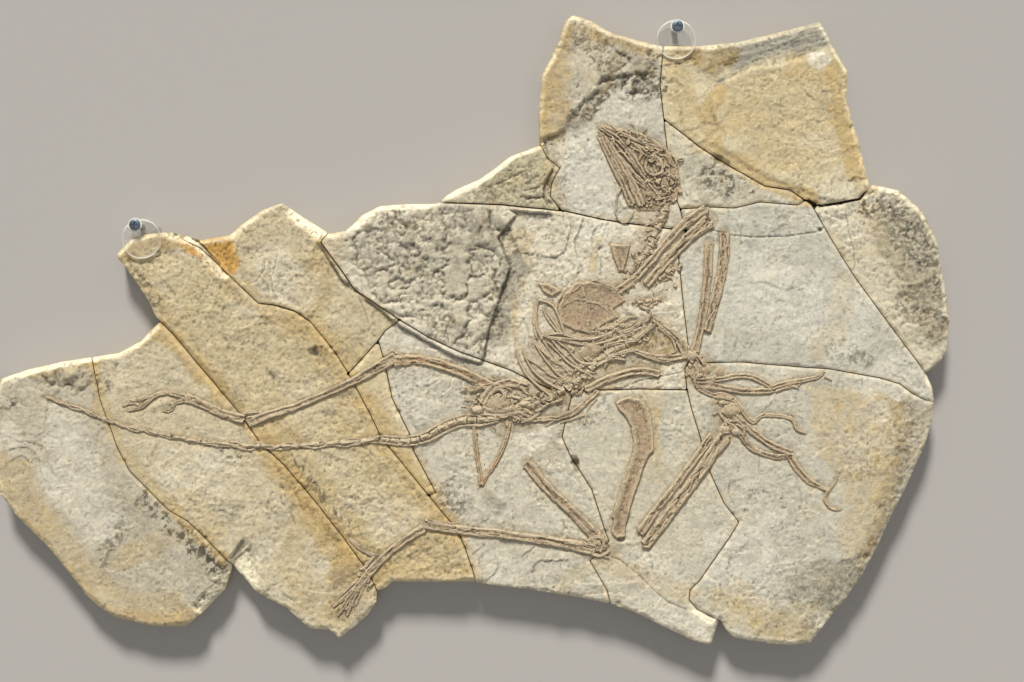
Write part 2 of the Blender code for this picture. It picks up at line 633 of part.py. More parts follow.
def break_wall(name, route):
    """A thin upright wall along a break, wide enough to part what it passes through."""
    half = WIDE_BREAKS.get(name, BREAK_WIDTH) / 2
    points = [on_slab(point) for point in route]
    across = [Vector((-way.y, way.x)) * half for way in directions(points)]
    one_side = [point + side for point, side in zip(points, across)]
    other_side = [point - side for point, side in zip(points, across)]
    return prism("break_" + name, one_side + other_side[::-1], (
        (0, -CUTTER_REACH), (0, SLAB_THICKNESS + BEDDING_ROOT)))


def part_slab(slab, parent):
    """Cuts the slab along its breaks and names the fragment that lies under each seed point."""
    for name, route in BREAKS.items():
        combine(slab, [break_wall(name, route)], "DIFFERENCE")
    for name, (seed, tone) in FRAGMENTS.items():
        bm = bmesh.new()
        bm.from_mesh(slab.data)
        groups = islands(bm)
        x, y = on_slab(seed)
        over = [group for group in groups if any(
            face.normal.z > LEVEL_FACE and bmesh.geometry.intersect_face_point(face, (x, y, face.verts[0].co.z))
            for face in group)]
        others = [face for group in groups if group is not over[0] for face in group]
        bmesh.ops.delete(bm, geom=others, context="FACES")
        finish(add_object(name, bm), tone, parent)
    remove_objects([slab])


def build_holder(side, screw_point, disc_point, spacer_start, parent):
    """A clear disc over the slab's edge, its spacer down to the wall, and its screw."""
    foot = SLAB_THICKNESS + TOUCH_GAP
    top = foot + HOLDER_THICKNESS
    disc = place_at(turned(f"holder_{side}", (
        (HOLDER_RADIUS - HOLDER_BEVEL, foot), (HOLDER_RADIUS, foot + HOLDER_BEVEL),
        (HOLDER_RADIUS, top - HOLDER_BEVEL), (HOLDER_RADIUS - HOLDER_BEVEL, top))), disc_point)
    spacer_radius = HOLDER_RADIUS - 2 * HOLDER_BEVEL
    towards_screw = (on_slab(screw_point) - on_slab(disc_point)).normalized()
    half_turn = math.acos(spacer_start / spacer_radius)
    middle = math.atan2(towards_screw.y, towards_screw.x)
    arc = [middle + half_turn * (2 * k / SPACER_STEPS - 1) for k in range(SPACER_STEPS + 1)]
    outline = [on_slab(disc_point) + Vector((math.cos(angle), math.sin(angle))) * spacer_radius
               for angle in arc]
    spacer = prism("spacer", outline, ((0, 0), (0, foot + HOLDER_THICKNESS / 2)))
    combine(disc, [spacer], "UNION")
    bore_radius = SCREW_RADIUS + TOUCH_GAP
    bore = place_at(turned("bore", (
        (bore_radius, -CUTTER_REACH), (bore_radius, top + CUTTER_REACH))), screw_point)
    combine(disc, [bore], "DIFFERENCE")
    finish(disc, ACRYLIC, parent)
    head = top + TOUCH_GAP
    crown = head + SCREW_HEAD_HEIGHT
    profile = [(SCREW_RADIUS, TOUCH_GAP), (SCREW_RADIUS, head)]
    profile += [(SCREW_HEAD_RADIUS * radius, head + SCREW_HEAD_HEIGHT * height)
                for radius, height in SCREW_HEAD_SHAPE]
    screw = place_at(turned(f"screw_{side}", profile), screw_point)
    for length, width in (SLOT_SIZE, SLOT_SIZE[::-1]):
        corners = [on_slab(screw_point) + Vector((x * length / 2, y * width / 2))
                   for x, y in ((-1, -1), (1, -1), (1, 1), (-1, 1))]
        slot = prism("slot", corners, ((0, crown - SLOT_DEPTH), (0, crown + CUTTER_REACH)))
        combine(screw, [slot], "DIFFERENCE")
    finish(screw, ZINC_STEEL, parent)


def main():
    """Builds the slab, the skeleton and the two holders under one empty."""
    clear_scene()
    fossil = bpy.data.objects.new("fossil_slab", None)
    bpy.context.scene.collection.objects.link(fossil)
    part_slab(slab_blank(), fossil)
    build_bones(fossil)
    for side, sizes in HOLDERS.items():
        build_holder(side, *sizes, fossil)


main()
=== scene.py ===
"""Looks for a fossil slab: pale mudstone with the skeleton of a long-tailed early bird in relief.

The stone's fragments are fine relief surfaces inside the outlines of their solids. Bones are relief
pieces that rise out of the stone, vertebrae and ribs are swept and strung along paths by node
trees, and the two clear holders stand over the slab's edge with their screws.
"""

import logging
import math
from dataclasses import dataclass, field
from enum import Enum
from typing import Callable, Iterable, Sequence

import bmesh
import bpy
import numpy as np
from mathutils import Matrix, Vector

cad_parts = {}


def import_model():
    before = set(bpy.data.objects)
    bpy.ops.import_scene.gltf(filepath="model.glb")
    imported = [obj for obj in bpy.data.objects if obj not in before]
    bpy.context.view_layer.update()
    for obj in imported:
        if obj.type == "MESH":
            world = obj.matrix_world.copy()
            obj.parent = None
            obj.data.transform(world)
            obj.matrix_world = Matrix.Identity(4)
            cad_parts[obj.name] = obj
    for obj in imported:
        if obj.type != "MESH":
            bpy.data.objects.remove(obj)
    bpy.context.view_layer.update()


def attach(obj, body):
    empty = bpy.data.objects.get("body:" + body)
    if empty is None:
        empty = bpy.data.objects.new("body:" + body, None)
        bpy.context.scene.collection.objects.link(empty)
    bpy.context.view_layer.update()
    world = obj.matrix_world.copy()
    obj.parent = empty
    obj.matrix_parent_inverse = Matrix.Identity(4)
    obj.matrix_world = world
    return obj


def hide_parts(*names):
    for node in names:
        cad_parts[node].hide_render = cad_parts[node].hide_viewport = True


MM = 0.001
# The corners of a square, anticlockwise
SQUARE = ((-1, -1), (1, -1), (1, 1), (-1, 1))
LOG = logging.getLogger("fossil_slab")

# The plan sheet: x runs right and y runs down, and the slab's middle is the origin
SHEET_UNIT = 728 * MM / 956
SHEET_MIDDLE = (472.0, 330.0)
SLAB_TOP = 22 * MM

STONE_CELL = 0.8 * MM
BONE_CELL = 0.45 * MM
BONE_SUNK = 1.2 * MM
CEILING = 27.8 * MM
SIDE_ROWS = 12
SEED = 11
STONE_SHARP, BONE_SHARP, TURNED_SHARP = (math.radians(turn) for turn in (58, 70, 35))

Point = tuple[float, float]
Array = np.ndarray


def number(cell: str) -> float | int:
    """Reads one number, whole where it is written so."""
    return float(cell) if "." in cell else int(cell)


def points(table: str) -> tuple[Point, ...]:
    """Reads sheet points that are written as x,y with spaces between them."""
    return tuple(tuple(number(value) for value in pair.split(",")) for pair in table.split())


@dataclass(frozen=True)
class Row:
    """A row of a table: first its words and colours, then its sizes, then its sheet points."""

    words: tuple[str, ...]
    sizes: tuple[float | int, ...]
    points: tuple[Point, ...]


def rows_of(table: str) -> list[Row]:
    """Reads a table whose rows have semicolons between them.

    Args:
        table: the rows, with spaces between their cells.
    Returns:
        The rows in their order.
    """
    rows = []
    for line in table.split(";"):
        cells = line.split()
        words = [cell for cell in cells if cell[0].isalpha() or cell[0] == "#"]
        sizes = [number(cell) for cell in cells if "," not in cell and cell not in words]
        pairs = " ".join(cell for cell in cells if "," in cell)
        rows.append(Row(tuple(words), tuple(sizes), points(pairs)))
    return rows


def plan(point: Point) -> Point:
    """Turns a sheet point into metres."""
    return ((point[0] - SHEET_MIDDLE[0]) * SHEET_UNIT, (SHEET_MIDDLE[1] - point[1]) * SHEET_UNIT)


def plan_all(points: Iterable[Point]) -> Array:
    """Turns sheet points into an array of metres."""
    return np.array([plan(point) for point in points], float)


def linear(tint: str) -> tuple[float, float, float]:
    """Turns an sRGB hex colour into linear values.

    Args:
        tint: six hex digits with a leading hash.
    Returns:
        Three linear channel values.
    """
    values = (int(tint[k:k + 2], 16) / 255 for k in (1, 3, 5))
    return tuple(v / 12.92 if v <= 0.04045 else ((v + 0.055) / 1.055) ** 2.4 for v in values)


def smooth(low: float, high: float, value: Array) -> Array:
    """A soft step from 0 at low to 1 at high."""
    t = np.clip((value - low) / (high - low), 0, 1)
    return t * t * (3 - 2 * t)


def in_box(x: Array, y: Array, low: Array, high: Array, reach: float = 0.0) -> Array:
    """Which places lie in a plan box that is widened by a reach."""
    return (x > low[0] - reach) & (x < high[0] + reach) & (y > low[1] - reach) & (y < high[1] + reach)


def pressed(height: Array, ceiling: float, give: float = 1.5 * MM) -> Array:
    """Heights that are pressed softly under a ceiling."""
    over = np.maximum(height - (ceiling - give), 0)
    return height - over + give * (1 - np.exp(-over / give))


class Noise:
    """Soft random relief over the plan, the same in every run."""

    def __init__(self, seed: int) -> None:
        """Draws the table of random heights.

        Args:
            seed: names the relief, so that each use has its own.
        """
        self.table = np.random.default_rng(seed).random((256, 256))

    def even(self, x: Array, y: Array, size: float) -> Array:
        """One layer of relief.

        Args:
            x, y: plan coordinates in metres.
            size: about how wide a lump is, in metres.
        Returns:
            Values from 0 to 1.
        """
        u, v = x / size, y / size
        iu, iv = np.floor(u).astype(int), np.floor(v).astype(int)
        fu, fv = u - iu, v - iv
        fu, fv = (f * f * f * (f * (f * 6 - 15) + 10) for f in (fu, fv))
        corners = [self.table[(iu + a) & 255, (iv + b) & 255] for a, b in ((0, 0), (1, 0), (0, 1), (1, 1))]
        low = corners[0] + (corners[1] - corners[0]) * fu
        high = corners[2] + (corners[3] - corners[2]) * fu
        return low + (high - low) * fv

    def layered(self, x: Array, y: Array, size: float, layers: int = 4, fade: float = 0.5) -> Array:
        """Several layers together, each half the size of the one before.

        Args:
            x, y: plan coordinates in metres.
            size: about how wide the first layer's lumps are, in metres.
            layers: how many layers.
            fade: each layer's strength beside the one before.
        Returns:
            Values from about -1 to 1.
        """
        total, weight, scale = np.zeros_like(x), 0.0, 1.0
        for k in range(layers):
            total += scale * (self.even(x + 3.1 * k, y - 1.7 * k, size / 2 ** k) * 2 - 1)
            weight += scale
            scale *= fade
        return total / weight


def path_frame(x: Array, y: Array, path: Array, ring: bool = False) -> tuple[Array, Array, Array]:
    """Where each place lies beside a path.

    Args:
        x, y: plan coordinates in metres.
        path: the path's points in metres, one row each.
        ring: whether the path closes on itself.
    Returns:
        The distance, where along the path it is met, counted in spans, and the side, 1 on its left.
    """
    nearest = np.full(x.shape, np.inf)
    along, side = np.zeros(x.shape), np.ones(x.shape)
    following = np.roll(path, -1, axis=0) if ring else path[1:]
    for k, (one, two) in enumerate(zip(path, following)):
        span = two - one
        length = max(float(span @ span), 1e-12)
        t = np.clip(((x - one[0]) * span[0] + (y - one[1]) * span[1]) / length, 0, 1)
        gap = np.hypot(x - one[0] - t * span[0], y - one[1] - t * span[1])
        nearer = gap < nearest
        nearest = np.where(nearer, gap, nearest)
        along = np.where(nearer, k + t, along)
        turn = np.sign(span[0] * (y - one[1]) - span[1] * (x - one[0]))
        side = np.where(nearer, turn, side)
    return nearest, along, side


def path_distance(x: Array, y: Array, path: Array, ring: bool = False) -> tuple[Array, Array]:
    """The distance from a path, and where along it that is met, counted in spans."""
    return path_frame(x, y, path, ring)[:2]


def within(x: Array, y: Array, outline: Array) -> Array:
    """Finds what lies inside a closed outline.

    Args:
        x, y: plan coordinates in metres.
        outline: its corners in metres.
    Returns:
        Whether each place lies inside.
    """
    found = np.zeros(x.shape, bool)
    for one, two in zip(outline, np.roll(outline, -1, axis=0)):
        if one[1] == two[1]:
            continue
        crosses = (one[1] > y) != (two[1] > y)
        found ^= crosses & (x < (two[0] - one[0]) * (y - one[1]) / (two[1] - one[1]) + one[0])
    return found


def depth_inside(x: Array, y: Array, outline: Array) -> Array:
    """How far inside a closed outline each place lies, negative outside."""
    gap, _ = path_distance(x, y, outline, ring=True)
    return np.where(within(x, y, outline), gap, -gap)


def curve_through(points: Array, steps: int, ring: bool = False) -> Array:
    """A smooth curve through the points.

    Args:
        points: the given points, one row each.
        steps: how many parts each span is cut into.
        ring: whether the curve closes on itself.
    Returns:
        The curve's points.
    """
    count = len(points)
    spans = count if ring else count - 1
    made = []
    for span in range(spans):
        if ring:
            a, b, c, d = (points[(span + k) % count] for k in (-1, 0, 1, 2))
        else:
            a, b, c, d = (points[min(max(span + k, 0), count - 1)] for k in (-1, 0, 1, 2))
        for step in range(steps):
            t = step / steps
            bend = (2 * a - 5 * b + 4 * c - d) * t ** 2 + (3 * b - a - 3 * c + d) * t ** 3
            made.append(0.5 * (2 * b + (c - a) * t + bend))
    if not ring:
        made.append(points[-1])
    return np.array(made)


# The plan of the slab: what lies where on the sheet

OUTLINE = points("""
    -6,400 0,379 25,370 60,362 92,357 118,353 140,341 158,323 148,300 131,275 115,255 132,237 152,233
    172,232 200,240 229,235 238,227 262,210 282,203 304,218 330,234 346,231 362,215 380,206 405,204 436,204
    455,190 480,179 496,168 511,156 540,146 539,110 542,76 553,54 560,40 565,22 573,15 592,22 612,34 640,42
    663,46 700,46 737,42 780,32 821,21 835,50 848,71 846,98 858,140 869,184 899,190 921,210 938,240 941,262
    946,290 950,320 947,350 941,362 926,373 932,386 935,402 933,420 925,445 911,477 893,513 877,548 861,577
    845,600 826,622 811,643 792,645 770,644 735,638 728,632 720,620 716,629 711,645 694,641 662,626 636,613
    611,604 580,598 546,592 500,586 470,582 430,582 392,582 386,588 377,591 376,602 368,615 354,627 339,638
    329,630 310,629 295,616 285,607 268,599 252,589 231,566 224,590 204,611 185,627 150,626 115,618 98,607
    84,594 63,566 44,544 22,523 0,495 -5,470""")


CRUSH = Noise(SEED + 9)


@dataclass(frozen=True)
class Limb:
    """A long bone: a smooth path, its widths and its rise in millimetres, and how deep it has caved in."""

    path: tuple[Point, ...]
    widths: tuple[float, ...]
    rise: float
    ring: bool = False
    caved: float = 0.22
    parts: int = 4

    def line(self) -> Array:
        """The path as a smooth curve in metres, each span in parts."""
        return curve_through(plan_all(self.path), self.parts, self.ring)

    def beside(self, x: Array, y: Array) -> tuple[Array, Array, Array, Array]:
        """Measures places along the path.

        Args:
            x, y: plan coordinates in metres.
        Returns:
            The distance from the path, where along it and on which side, and half the width there.
        """
        gap, along, side = path_frame(x, y, self.line(), self.ring)
        widths = (*self.widths, self.widths[0]) if self.ring else self.widths
        return gap, along, side, np.interp(along / self.parts, np.arange(len(widths)), widths) * MM / 2

    def edge_gap(self, x: Array, y: Array) -> Array:
        """How far outside the bone's edge each place is, negative inside."""
        gap, _, _, half = self.beside(x, y)
        return gap - half

    def height(self, x: Array, y: Array) -> Array:
        """How far the bone stands above the stone, with its caved middle, fibres and lost flakes.

        Args:
            x, y: plan coordinates in metres.
        Returns:
            Heights in metres, below zero where there is no bone.
        """
        line = self.line()
        gap, along, side, half = self.beside(x, y)
        steps = np.linalg.norm(np.diff(line, axis=0), axis=1)
        run = np.interp(along, np.arange(len(line)), np.concatenate([[0], np.cumsum(steps)]))
        # Each bone reads its own stretch of the noise, from its first point
        seed = 7 * self.path[0][0]
        half = half * (1 + 0.10 * CRUSH.layered(run, run * 0 + seed, 7 * MM, 3, 0.6))
        across = side * gap / half
        share = np.clip(np.abs(across), 0, 1)
        rise = np.minimum(0.74 * self.rise * MM, 2.1 * half)
        middle = 0.35 * CRUSH.layered(run, run * 0 + seed + 3, 16 * MM, 2)
        crown = rise * np.sqrt(1 - share ** 5)
        crown -= (self.caved + 0.12) * rise * np.exp(-((across - middle) / 0.42) ** 2)
        fibres = CRUSH.layered(run * 0.09, across * half + seed, 1.5 * MM, 3, 0.75)
        flakes = CRUSH.layered(run * 0.34, across * half + seed + 9, 2.8 * MM, 3, 0.6)
        lost = smooth(0.15, 0.45, flakes)
        thick = np.minimum(1, half / (2.2 * MM))
        crown = crown * (1 - 0.4 * lost) + 0.62 * MM * thick * fibres
        beyond = ~self.ring & ((along <= 0) | (along >= len(line) - 1))
        broken = half * np.where(beyond, 0.35 + 0.5 * CRUSH.layered(x, y, 2.5 * MM, 2), 1)
        return np.where(gap < broken, np.maximum(crown, 0.05 * MM), -MM)


@dataclass(frozen=True)
class Lump:
    """A rounded lump of bone with radii in sheet units and a rise in millimetres."""

    centre: Point
    radii: Point
    rise: float
    turn: float = 0.0

    def share(self, x: Array, y: Array) -> Array:
        """How far out each place is.

        Args:
            x, y: plan coordinates in metres.
        Returns:
            Shares, 1 at the lump's edge.
        """
        cx, cy = plan(self.centre)
        c, s = math.cos(math.radians(self.turn)), math.sin(math.radians(self.turn))
        u = ((x - cx) * c + (y - cy) * s) / (self.radii[0] * SHEET_UNIT)
        v = ((y - cy) * c - (x - cx) * s) / (self.radii[1] * SHEET_UNIT)
        return np.hypot(u, v)

    def edge_gap(self, x: Array, y: Array) -> Array:
        """How far outside the lump's edge each place is, negative inside."""
        return (self.share(x, y) - 1) * min(self.radii) * SHEET_UNIT

    def height(self, x: Array, y: Array) -> Array:
        """How far the lump stands above the stone.

        Args:
            x, y: plan coordinates in metres.
        Returns:
            Heights in metres.
        """
        share = self.share(x, y)
        crown = self.rise * MM * np.sqrt(np.clip(1 - share ** 2, 0, 1))
        return np.where(share < 1, crown, -MM)


@dataclass(frozen=True)
class Plate:
    """A thin plate of bone inside a closed edge, with its rise in millimetres."""

    edge: tuple[Point, ...]
    rise: float

    def edge_gap(self, x: Array, y: Array) -> Array:
        """How far outside the plate's edge each place is, negative inside."""
        return -depth_inside(x, y, plan_all(self.edge))

    def height(self, x: Array, y: Array) -> Array:
        """How far the plate stands above the stone.

        Args:
            x, y: plan coordinates in metres.
        Returns:
            Heights in metres.
        """
        depth = -self.edge_gap(x, y)
        crown = self.rise * MM * smooth(0, 1.2 * MM, depth) * (1 - 0.5 * smooth(1.4 * MM, 5 * MM, depth))
        grain = CRUSH.layered(x * 0.5 - y * 0.15, y * 0.12 + x * 0.3, 1.8 * MM, 3, 0.7)
        return np.where(depth > 0, np.maximum(crown + 0.25 * MM * grain, 0.05 * MM), -MM)


def run_gap(x: Array, y: Array, path: Sequence[Point], width: float) -> Array:
    """How far outside a run along sheet points each place is, by the run's width in millimetres."""
    return path_distance(x, y, curve_through(plan_all(path), 3))[0] - width * MM / 2


@dataclass(frozen=True)
class Chain:
    """A run of vertebrae along a path, with widths and rises in millimetres at its two ends."""

    path: tuple[Point, ...]
    count: int
    widths: tuple[float, float]
    rises: tuple[float, float]

    def edge_gap(self, x: Array, y: Array) -> Array:
        """How far outside the run's edge each place is, negative inside."""
        return run_gap(x, y, self.path, max(self.widths))


@dataclass(frozen=True)
class Rib:
    """A thin rib that tapers along its path."""

    path: tuple[Point, ...]
    widths: tuple[float, float] = (2.5, 1.4)

    def edge_gap(self, x: Array, y: Array) -> Array:
        """How far outside the rib's edge each place is, negative inside."""
        return run_gap(x, y, self.path, self.widths[0])


BoneShape = Limb | Lump | Plate | Chain | Rib


def footprint(shape: BoneShape) -> tuple[Array, Array]:
    """The plan box of a bone shape.

    Args:
        shape: the shape.
    Returns:
        Its lowest and its highest corner in metres.
    """
    if isinstance(shape, Lump):
        points, margin = plan_all((shape.centre,)), max(shape.radii) * SHEET_UNIT
    elif isinstance(shape, Plate):
        points, margin = plan_all(shape.edge), 0.0
    else:
        points, margin = plan_all(shape.path), 0.6 * max(shape.widths) * MM
    return points.min(0) - margin - 1.5 * MM, points.max(0) + margin + 1.5 * MM


def point_on(path: Sequence[Point], share: float) -> Array:
    """The place at a share of the way along a path of sheet points."""
    at, steps = share * (len(path) - 1), np.arange(len(path))
    return np.array([np.interp(at, steps, [point[k] for point in path]) for k in (0, 1)])


def strands(starts: Sequence[Point], ends: Sequence[Point], count: int, rise: float, width: float,
            seed: int) -> tuple[Limb, ...]:
    """Thin splinters that run side by side from one edge to another.

    Args:
        starts: the edge that they spring from.
        ends: the edge that they run to.
        count: how many splinters.
        rise: how high they stand, in millimetres.
        width: their width in millimetres.
        seed: names the random draw.
    Returns:
        The splinters.
    """
    pick = np.random.default_rng(seed)
    made = []
    for k in range(count):
        share = min(max((k + pick.uniform(-0.4, 0.4)) / (count - 1), 0), 1)
        one, two = point_on(starts, share), point_on(ends, share)
        stops = (pick.uniform(0, 0.3), pick.uniform(0.4, 0.6), pick.uniform(0.75, 1.0))
        path = tuple(tuple(one + (two - one) * stop + pick.normal(0, 1.6, 2)) for stop in stops)
        high = rise * pick.uniform(0.75, 1.2)
        made.append(Limb(path, (0.5 * width, width, 0.6 * width), high, caved=0))
    return tuple(made)


def shards(path: Sequence[Point], count: int, spread: float, length: float, rise: float, width: float,
           seed: int) -> tuple[Limb, ...]:
    """Short splinters and knobs of bone strewn around a path.

    Args:
        path: the path in sheet points.
        count: how many pieces.
        spread: how far they lie from the path, in sheet units.
        length: the longest splinter in sheet units.
        rise: how high they stand, in millimetres.
        width: a splinter's width in millimetres.
        seed: names the random draw.
    Returns:
        The splinters and knobs.
    """
    pick = np.random.default_rng(seed)
    made = []
    for k in range(count):
        share = pick.random()
        middle = point_on(path, share) + pick.normal(0, spread, 2)
        way = point_on(path, min(share + 0.1, 1)) - point_on(path, max(share - 0.1, 0))
        turn = math.atan2(way[1], way[0]) + pick.normal(0, 0.75)
        step = 0.5 * length * pick.uniform(0.3, 1) * np.array([math.cos(turn), math.sin(turn)])
        high = rise * pick.uniform(0.6, 1.15)
        if k % 3 == 0:
            step, thick = 0.4 * step, width * pick.uniform(1.3, 2.1)
        else:
            thick = width * pick.uniform(0.7, 1.1)
        bend = pick.normal(0, 0.1 * length, 2)
        line = tuple(tuple(place) for place in (middle - step, middle + bend, middle + step))
        made.append(Limb(line, (0.6 * thick, thick, 0.5 * thick), high, caved=0.25))
    return tuple(made)


def shapes(table: str) -> tuple[BoneShape, ...]:
    """Reads bone shapes from a table. A limb that is sound hasn't caved in.

    Args:
        table: rows of a shape's kind, its sizes in the order of its class, and its points.
    Returns:
        The shapes in their order.
    """
    made: list[BoneShape] = []
    for row in rows_of(table):
        sizes, path = row.sizes, row.points
        match row.words[0]:
            case "limb":
                caved = 0 if "sound" in row.words else Limb.caved
                made.append(Limb(path, sizes[1:], sizes[0], "ring" in row.words, caved))
            case "rod":
                rise, width = sizes
                widths = (width, *(width * 1.15,) * (len(path) - 2), width * 0.8)
                made.append(Limb(path, widths, rise, caved=0.1))
            case "lump":
                made.append(Lump(*path, *sizes))
            case "plate":
                made.append(Plate(path, *sizes))
            case "chain":
                made.append(Chain(path, sizes[0], sizes[1:3], sizes[3:]))
            case "rib":
                made.append(Rib(path))
            case "strands":
                made += strands(path[:2], path[2:], *sizes)
            case "shards":
                made += shards(path, *sizes)
    return tuple(made)


BONES: dict[str, tuple[BoneShape, ...]] = {
    "skull": shapes("""
    plate 0.6 597,124 620,128 641,133 657,141 670,152 678,168 681,190 674,203 656,211 638,211 628,202
    618,184 609,160 600,146; limb 3 3.4 4.5 5 6 600,138 611,160 622,183 632,205; limb 3.3 3 4.5 5.5 6.5
    602,134 617,156 631,180 642,206; limb 3.4 3 4 4.5 4 600,128 616,138 632,156 644,176"""),
    "scapula_right": shapes("""
    limb 3.4 6 6.5 6.5 6.5 7 8 618,291 634,279 650,262 667,242 684,224 706,209"""),
    "humerus_right": shapes("""
    limb 3.2 7 7.5 7.5 9 12 646,285 662,266 678,249 694,233 710,221"""),
    "neck": shapes("""
    chain 7 6.5 6 1.8 1.7 666,203 663,217 656,232 650,247 639,262"""),
    "radius_right": shapes("""
    limb 2.8 8 8 7.5 7 6.5 724,233 724,255 719,285 713,308 707,331"""),
    "ulna_right": shapes("""
    limb 2.6 7 7 6.5 6 7 709,243 708,270 705,300 701,325 695,352"""),
    "furcula": shapes("""
    limb 2.6 4.5 5 5 5.5 653,319 666,329 677,340 685,354; limb 2.4 3.5 4.5 5 5.5 634,351 650,356 668,358
    686,355"""),
    "hand_right": shapes("""
    lump 1 10 695,370 7,10; limb 2.4 5 4.5 4 4 4.5 696,381 715,380 735,376 752,377 772,387; limb 2.6 6 5.5 5
    5 696,384 720,387 745,391 771,391; limb 2 4.5 4 3.5 3 1.4 770,388 787,383 803,380 817,377 824,371; limb
    1.8 4 3 1.2 766,391 784,388 800,385; limb 2 5 4 4 4 3.4 3 3 3 1 697,386 712,395 727,395 739,405 752,422
    764,415 790,418 797,429 806,433"""),
    "hand_left": shapes("""
    lump 3 20 731,410 9,8; limb 2.8 6 6 5.5 5 5.5 729,411 736,417 752,431 772,445 791,453; limb 2.6 7 5 5
    4.5 4.5 5 724,423 738,432 748,445 762,453 778,457 790,455; limb 2.4 6 6 5.5 4 3 789,454 797,468 808,480
    819,486 830,490; limb 1.8 3 3 2.4 1 829,489 825,499 831,508 841,510; limb 1.4 2.4 2 1 828,490 835,483
    838,474"""),
    "ulna_left": shapes("""
    limb 3.6 11 10 9.4 9 9 8.5 725,436 710,457 694,480 677,503 659,527 645,545"""),
    "radius_left": shapes("""
    limb 3.2 7 6 6 6 6.5 8 713,435 700,452 686,471 668,495 653,514 641,532"""),
    "humerus_left": shapes("""
    plate 2 615,403 621,398 630,396 641,399 648,408 651,421 654,436 655,450 649,457 644,468 640,482 634,497
    630,513 626,526 626,537 616,539 611,533 613,517 618,500 624,482 630,464 634,448 632,432 627,418 619,411;
    limb sound 2.8 2 2.6 2.6 2.8 2.4 2.6 2.6 3 618,406 628,418 633,432 635,447 630,465 624,482 618,501
    613,518; limb sound 2.6 2 2 2 2.4 2.4 2.4 2.6 3 640,399 648,411 651,428 652,445 644,462 637,482 630,503
    625,522"""),
    "coracoid_left": shapes("""
    plate 1.8 609,244 631,244 628,258 624,272 618,272 613,258"""),
    "sternum": shapes("""
    plate 1.3 557,309 563,295 576,282 590,281 606,284 620,292 626,301 614,309 619,317 604,325 590,333
    575,331 561,324; limb sound 1.5 1.8 2.4 2.4 2 581,282 585,298 587,314 589,331; limb sound 1.5 2.2 2.6
    2.4 1.6 586,301 599,304 609,311 618,318;
    limb sound 1.4 2.2 2.4 2.2 1.4 585,300 574,300 565,304 558,310"""),
    "sternal_process": shapes("""
    plate 1.8 537,282 549,283 562,291 552,297 543,293"""),
    "ribs_right": shapes("""
    rib 612,333 592,339 570,339 541,336; rib 641,328 608,341 585,345 558,339; rib 582,340 563,334 555,324
    545,310; rib 542,339 537,328 536,315 538,299; rib 565,336 560,320 552,305 537,300"""),
    "shoulder_vertebra_upper": shapes("""
    chain 2 5.6 5 1.5 1.4 674,267 659,280"""),
    "shoulder_vertebra_lower": shapes("""
    chain 3 4.4 4 1.4 1.3 661,299 637,303"""),
    "trunk": shapes("""
    chain 7 6.6 6 1.7 1.7 582,378 598,361 613,350 629,342 644,333; rib 594,364 580,362 568,350 557,341; rib
    588,374 570,364 558,352 547,342"""),
    "sacrum": shapes("""
    chain 8 6.2 6.6 1.7 1.7 514,411 530,405 548,398 565,389 581,379; rib 572,386 556,372 544,358 535,344;
    rib 563,391 545,381 531,368 523,351; rib 552,397 536,384 524,371 517,355"""),
    "scapula_left": shapes("""
    limb 2.8 5.5 6.5 6 6 5 586,390 606,380 622,374 640,371 660,374"""),
    "pelvis": shapes("""
    limb ring sound 4 3.4 3.4 3.4 3.4 491,395 498,388 505,395 498,402; lump 3 497,404 15,12; limb 3.6 6 8 7
    5 482,404 492,389 510,383 527,387; limb 3.8 6 9 8 5 484,411 500,413 518,410 532,416"""),
    "femur_left": shapes("""
    limb 3.2 9.5 8 8 8.5 9.5 394,361 420,360 447,367 470,376 491,388"""),
    "tibia_left": shapes("""
    limb 3 8 6.5 5.5 5.5 6.5 8 9 248,422 275,413 300,405 330,392 355,380 375,369 396,357"""),
    "foot_left": shapes("""
    limb 2.6 8 6.5 6.5 7 244,419 222,413 200,403 186,398; limb 2 5.5 3.6 3.6 3 2.8 1.2 189,399 173,394
    161,393 150,399 142,407 128,411; limb 1.8 3 2.6 2.2 1 153,398 142,405 132,403 123,406; limb 1.8 5 3 2.6
    1.2 187,400 175,403 171,410 163,411"""),
    "tibia_right": shapes("""
    limb 3 10 8.5 7 7 7 7 8 592,549 560,543 530,538 500,534 470,531 440,527 424,524"""),
    "femur_right": shapes("""
    limb 3 9 8.5 8 9 10 528,464 545,485 565,505 585,525 600,541"""),
    "foot_right": shapes("""
    limb 2.6 7 6 6 6 7 424,528 405,540 390,552 378,563 368,574; limb 2 2 3 3 3 350,538 359,546 370,554
    384,558; limb 2.2 6.5 5 4 1.4 370,572 358,586 348,600 338,616; limb 2 4 3.6 3.2 1.2 366,577 358,590
    351,604 347,616; limb 2 4 3 1 355,588 344,598 333,607"""),
    "ischium": shapes("""
    limb 2.4 3.5 4 4.5 5 5 4 521,421 540,419 560,418 575,411 588,400 598,391"""),
    "pubes": shapes("""
    limb 2 3 2.6 3 3.5 474,425 476,450 480,472 481,485; limb 2 4 3 2.8 3 3.5 509,422 506,440 497,460 487,475
    481,485"""),
    "tail_base": shapes("""
    chain 12 6.8 5.4 2.1 1.8 497,417 480,420 458,421 440,429 424,437 408,441 380,439"""),
    "tail_middle": shapes("""
    chain 9 4.4 3.4 1.6 1.3 380,439 350,442 320,444 290,446 260,446 235,445 201,442"""),
    "tail_tip": shapes("""
    chain 11 3.2 1.3 1.3 0.7 201,442 185,439 165,435 145,431 125,426 108,421 90,413 70,406 46,397"""),
}
RUSTY_BONES = {"femur_left", "pubes"}


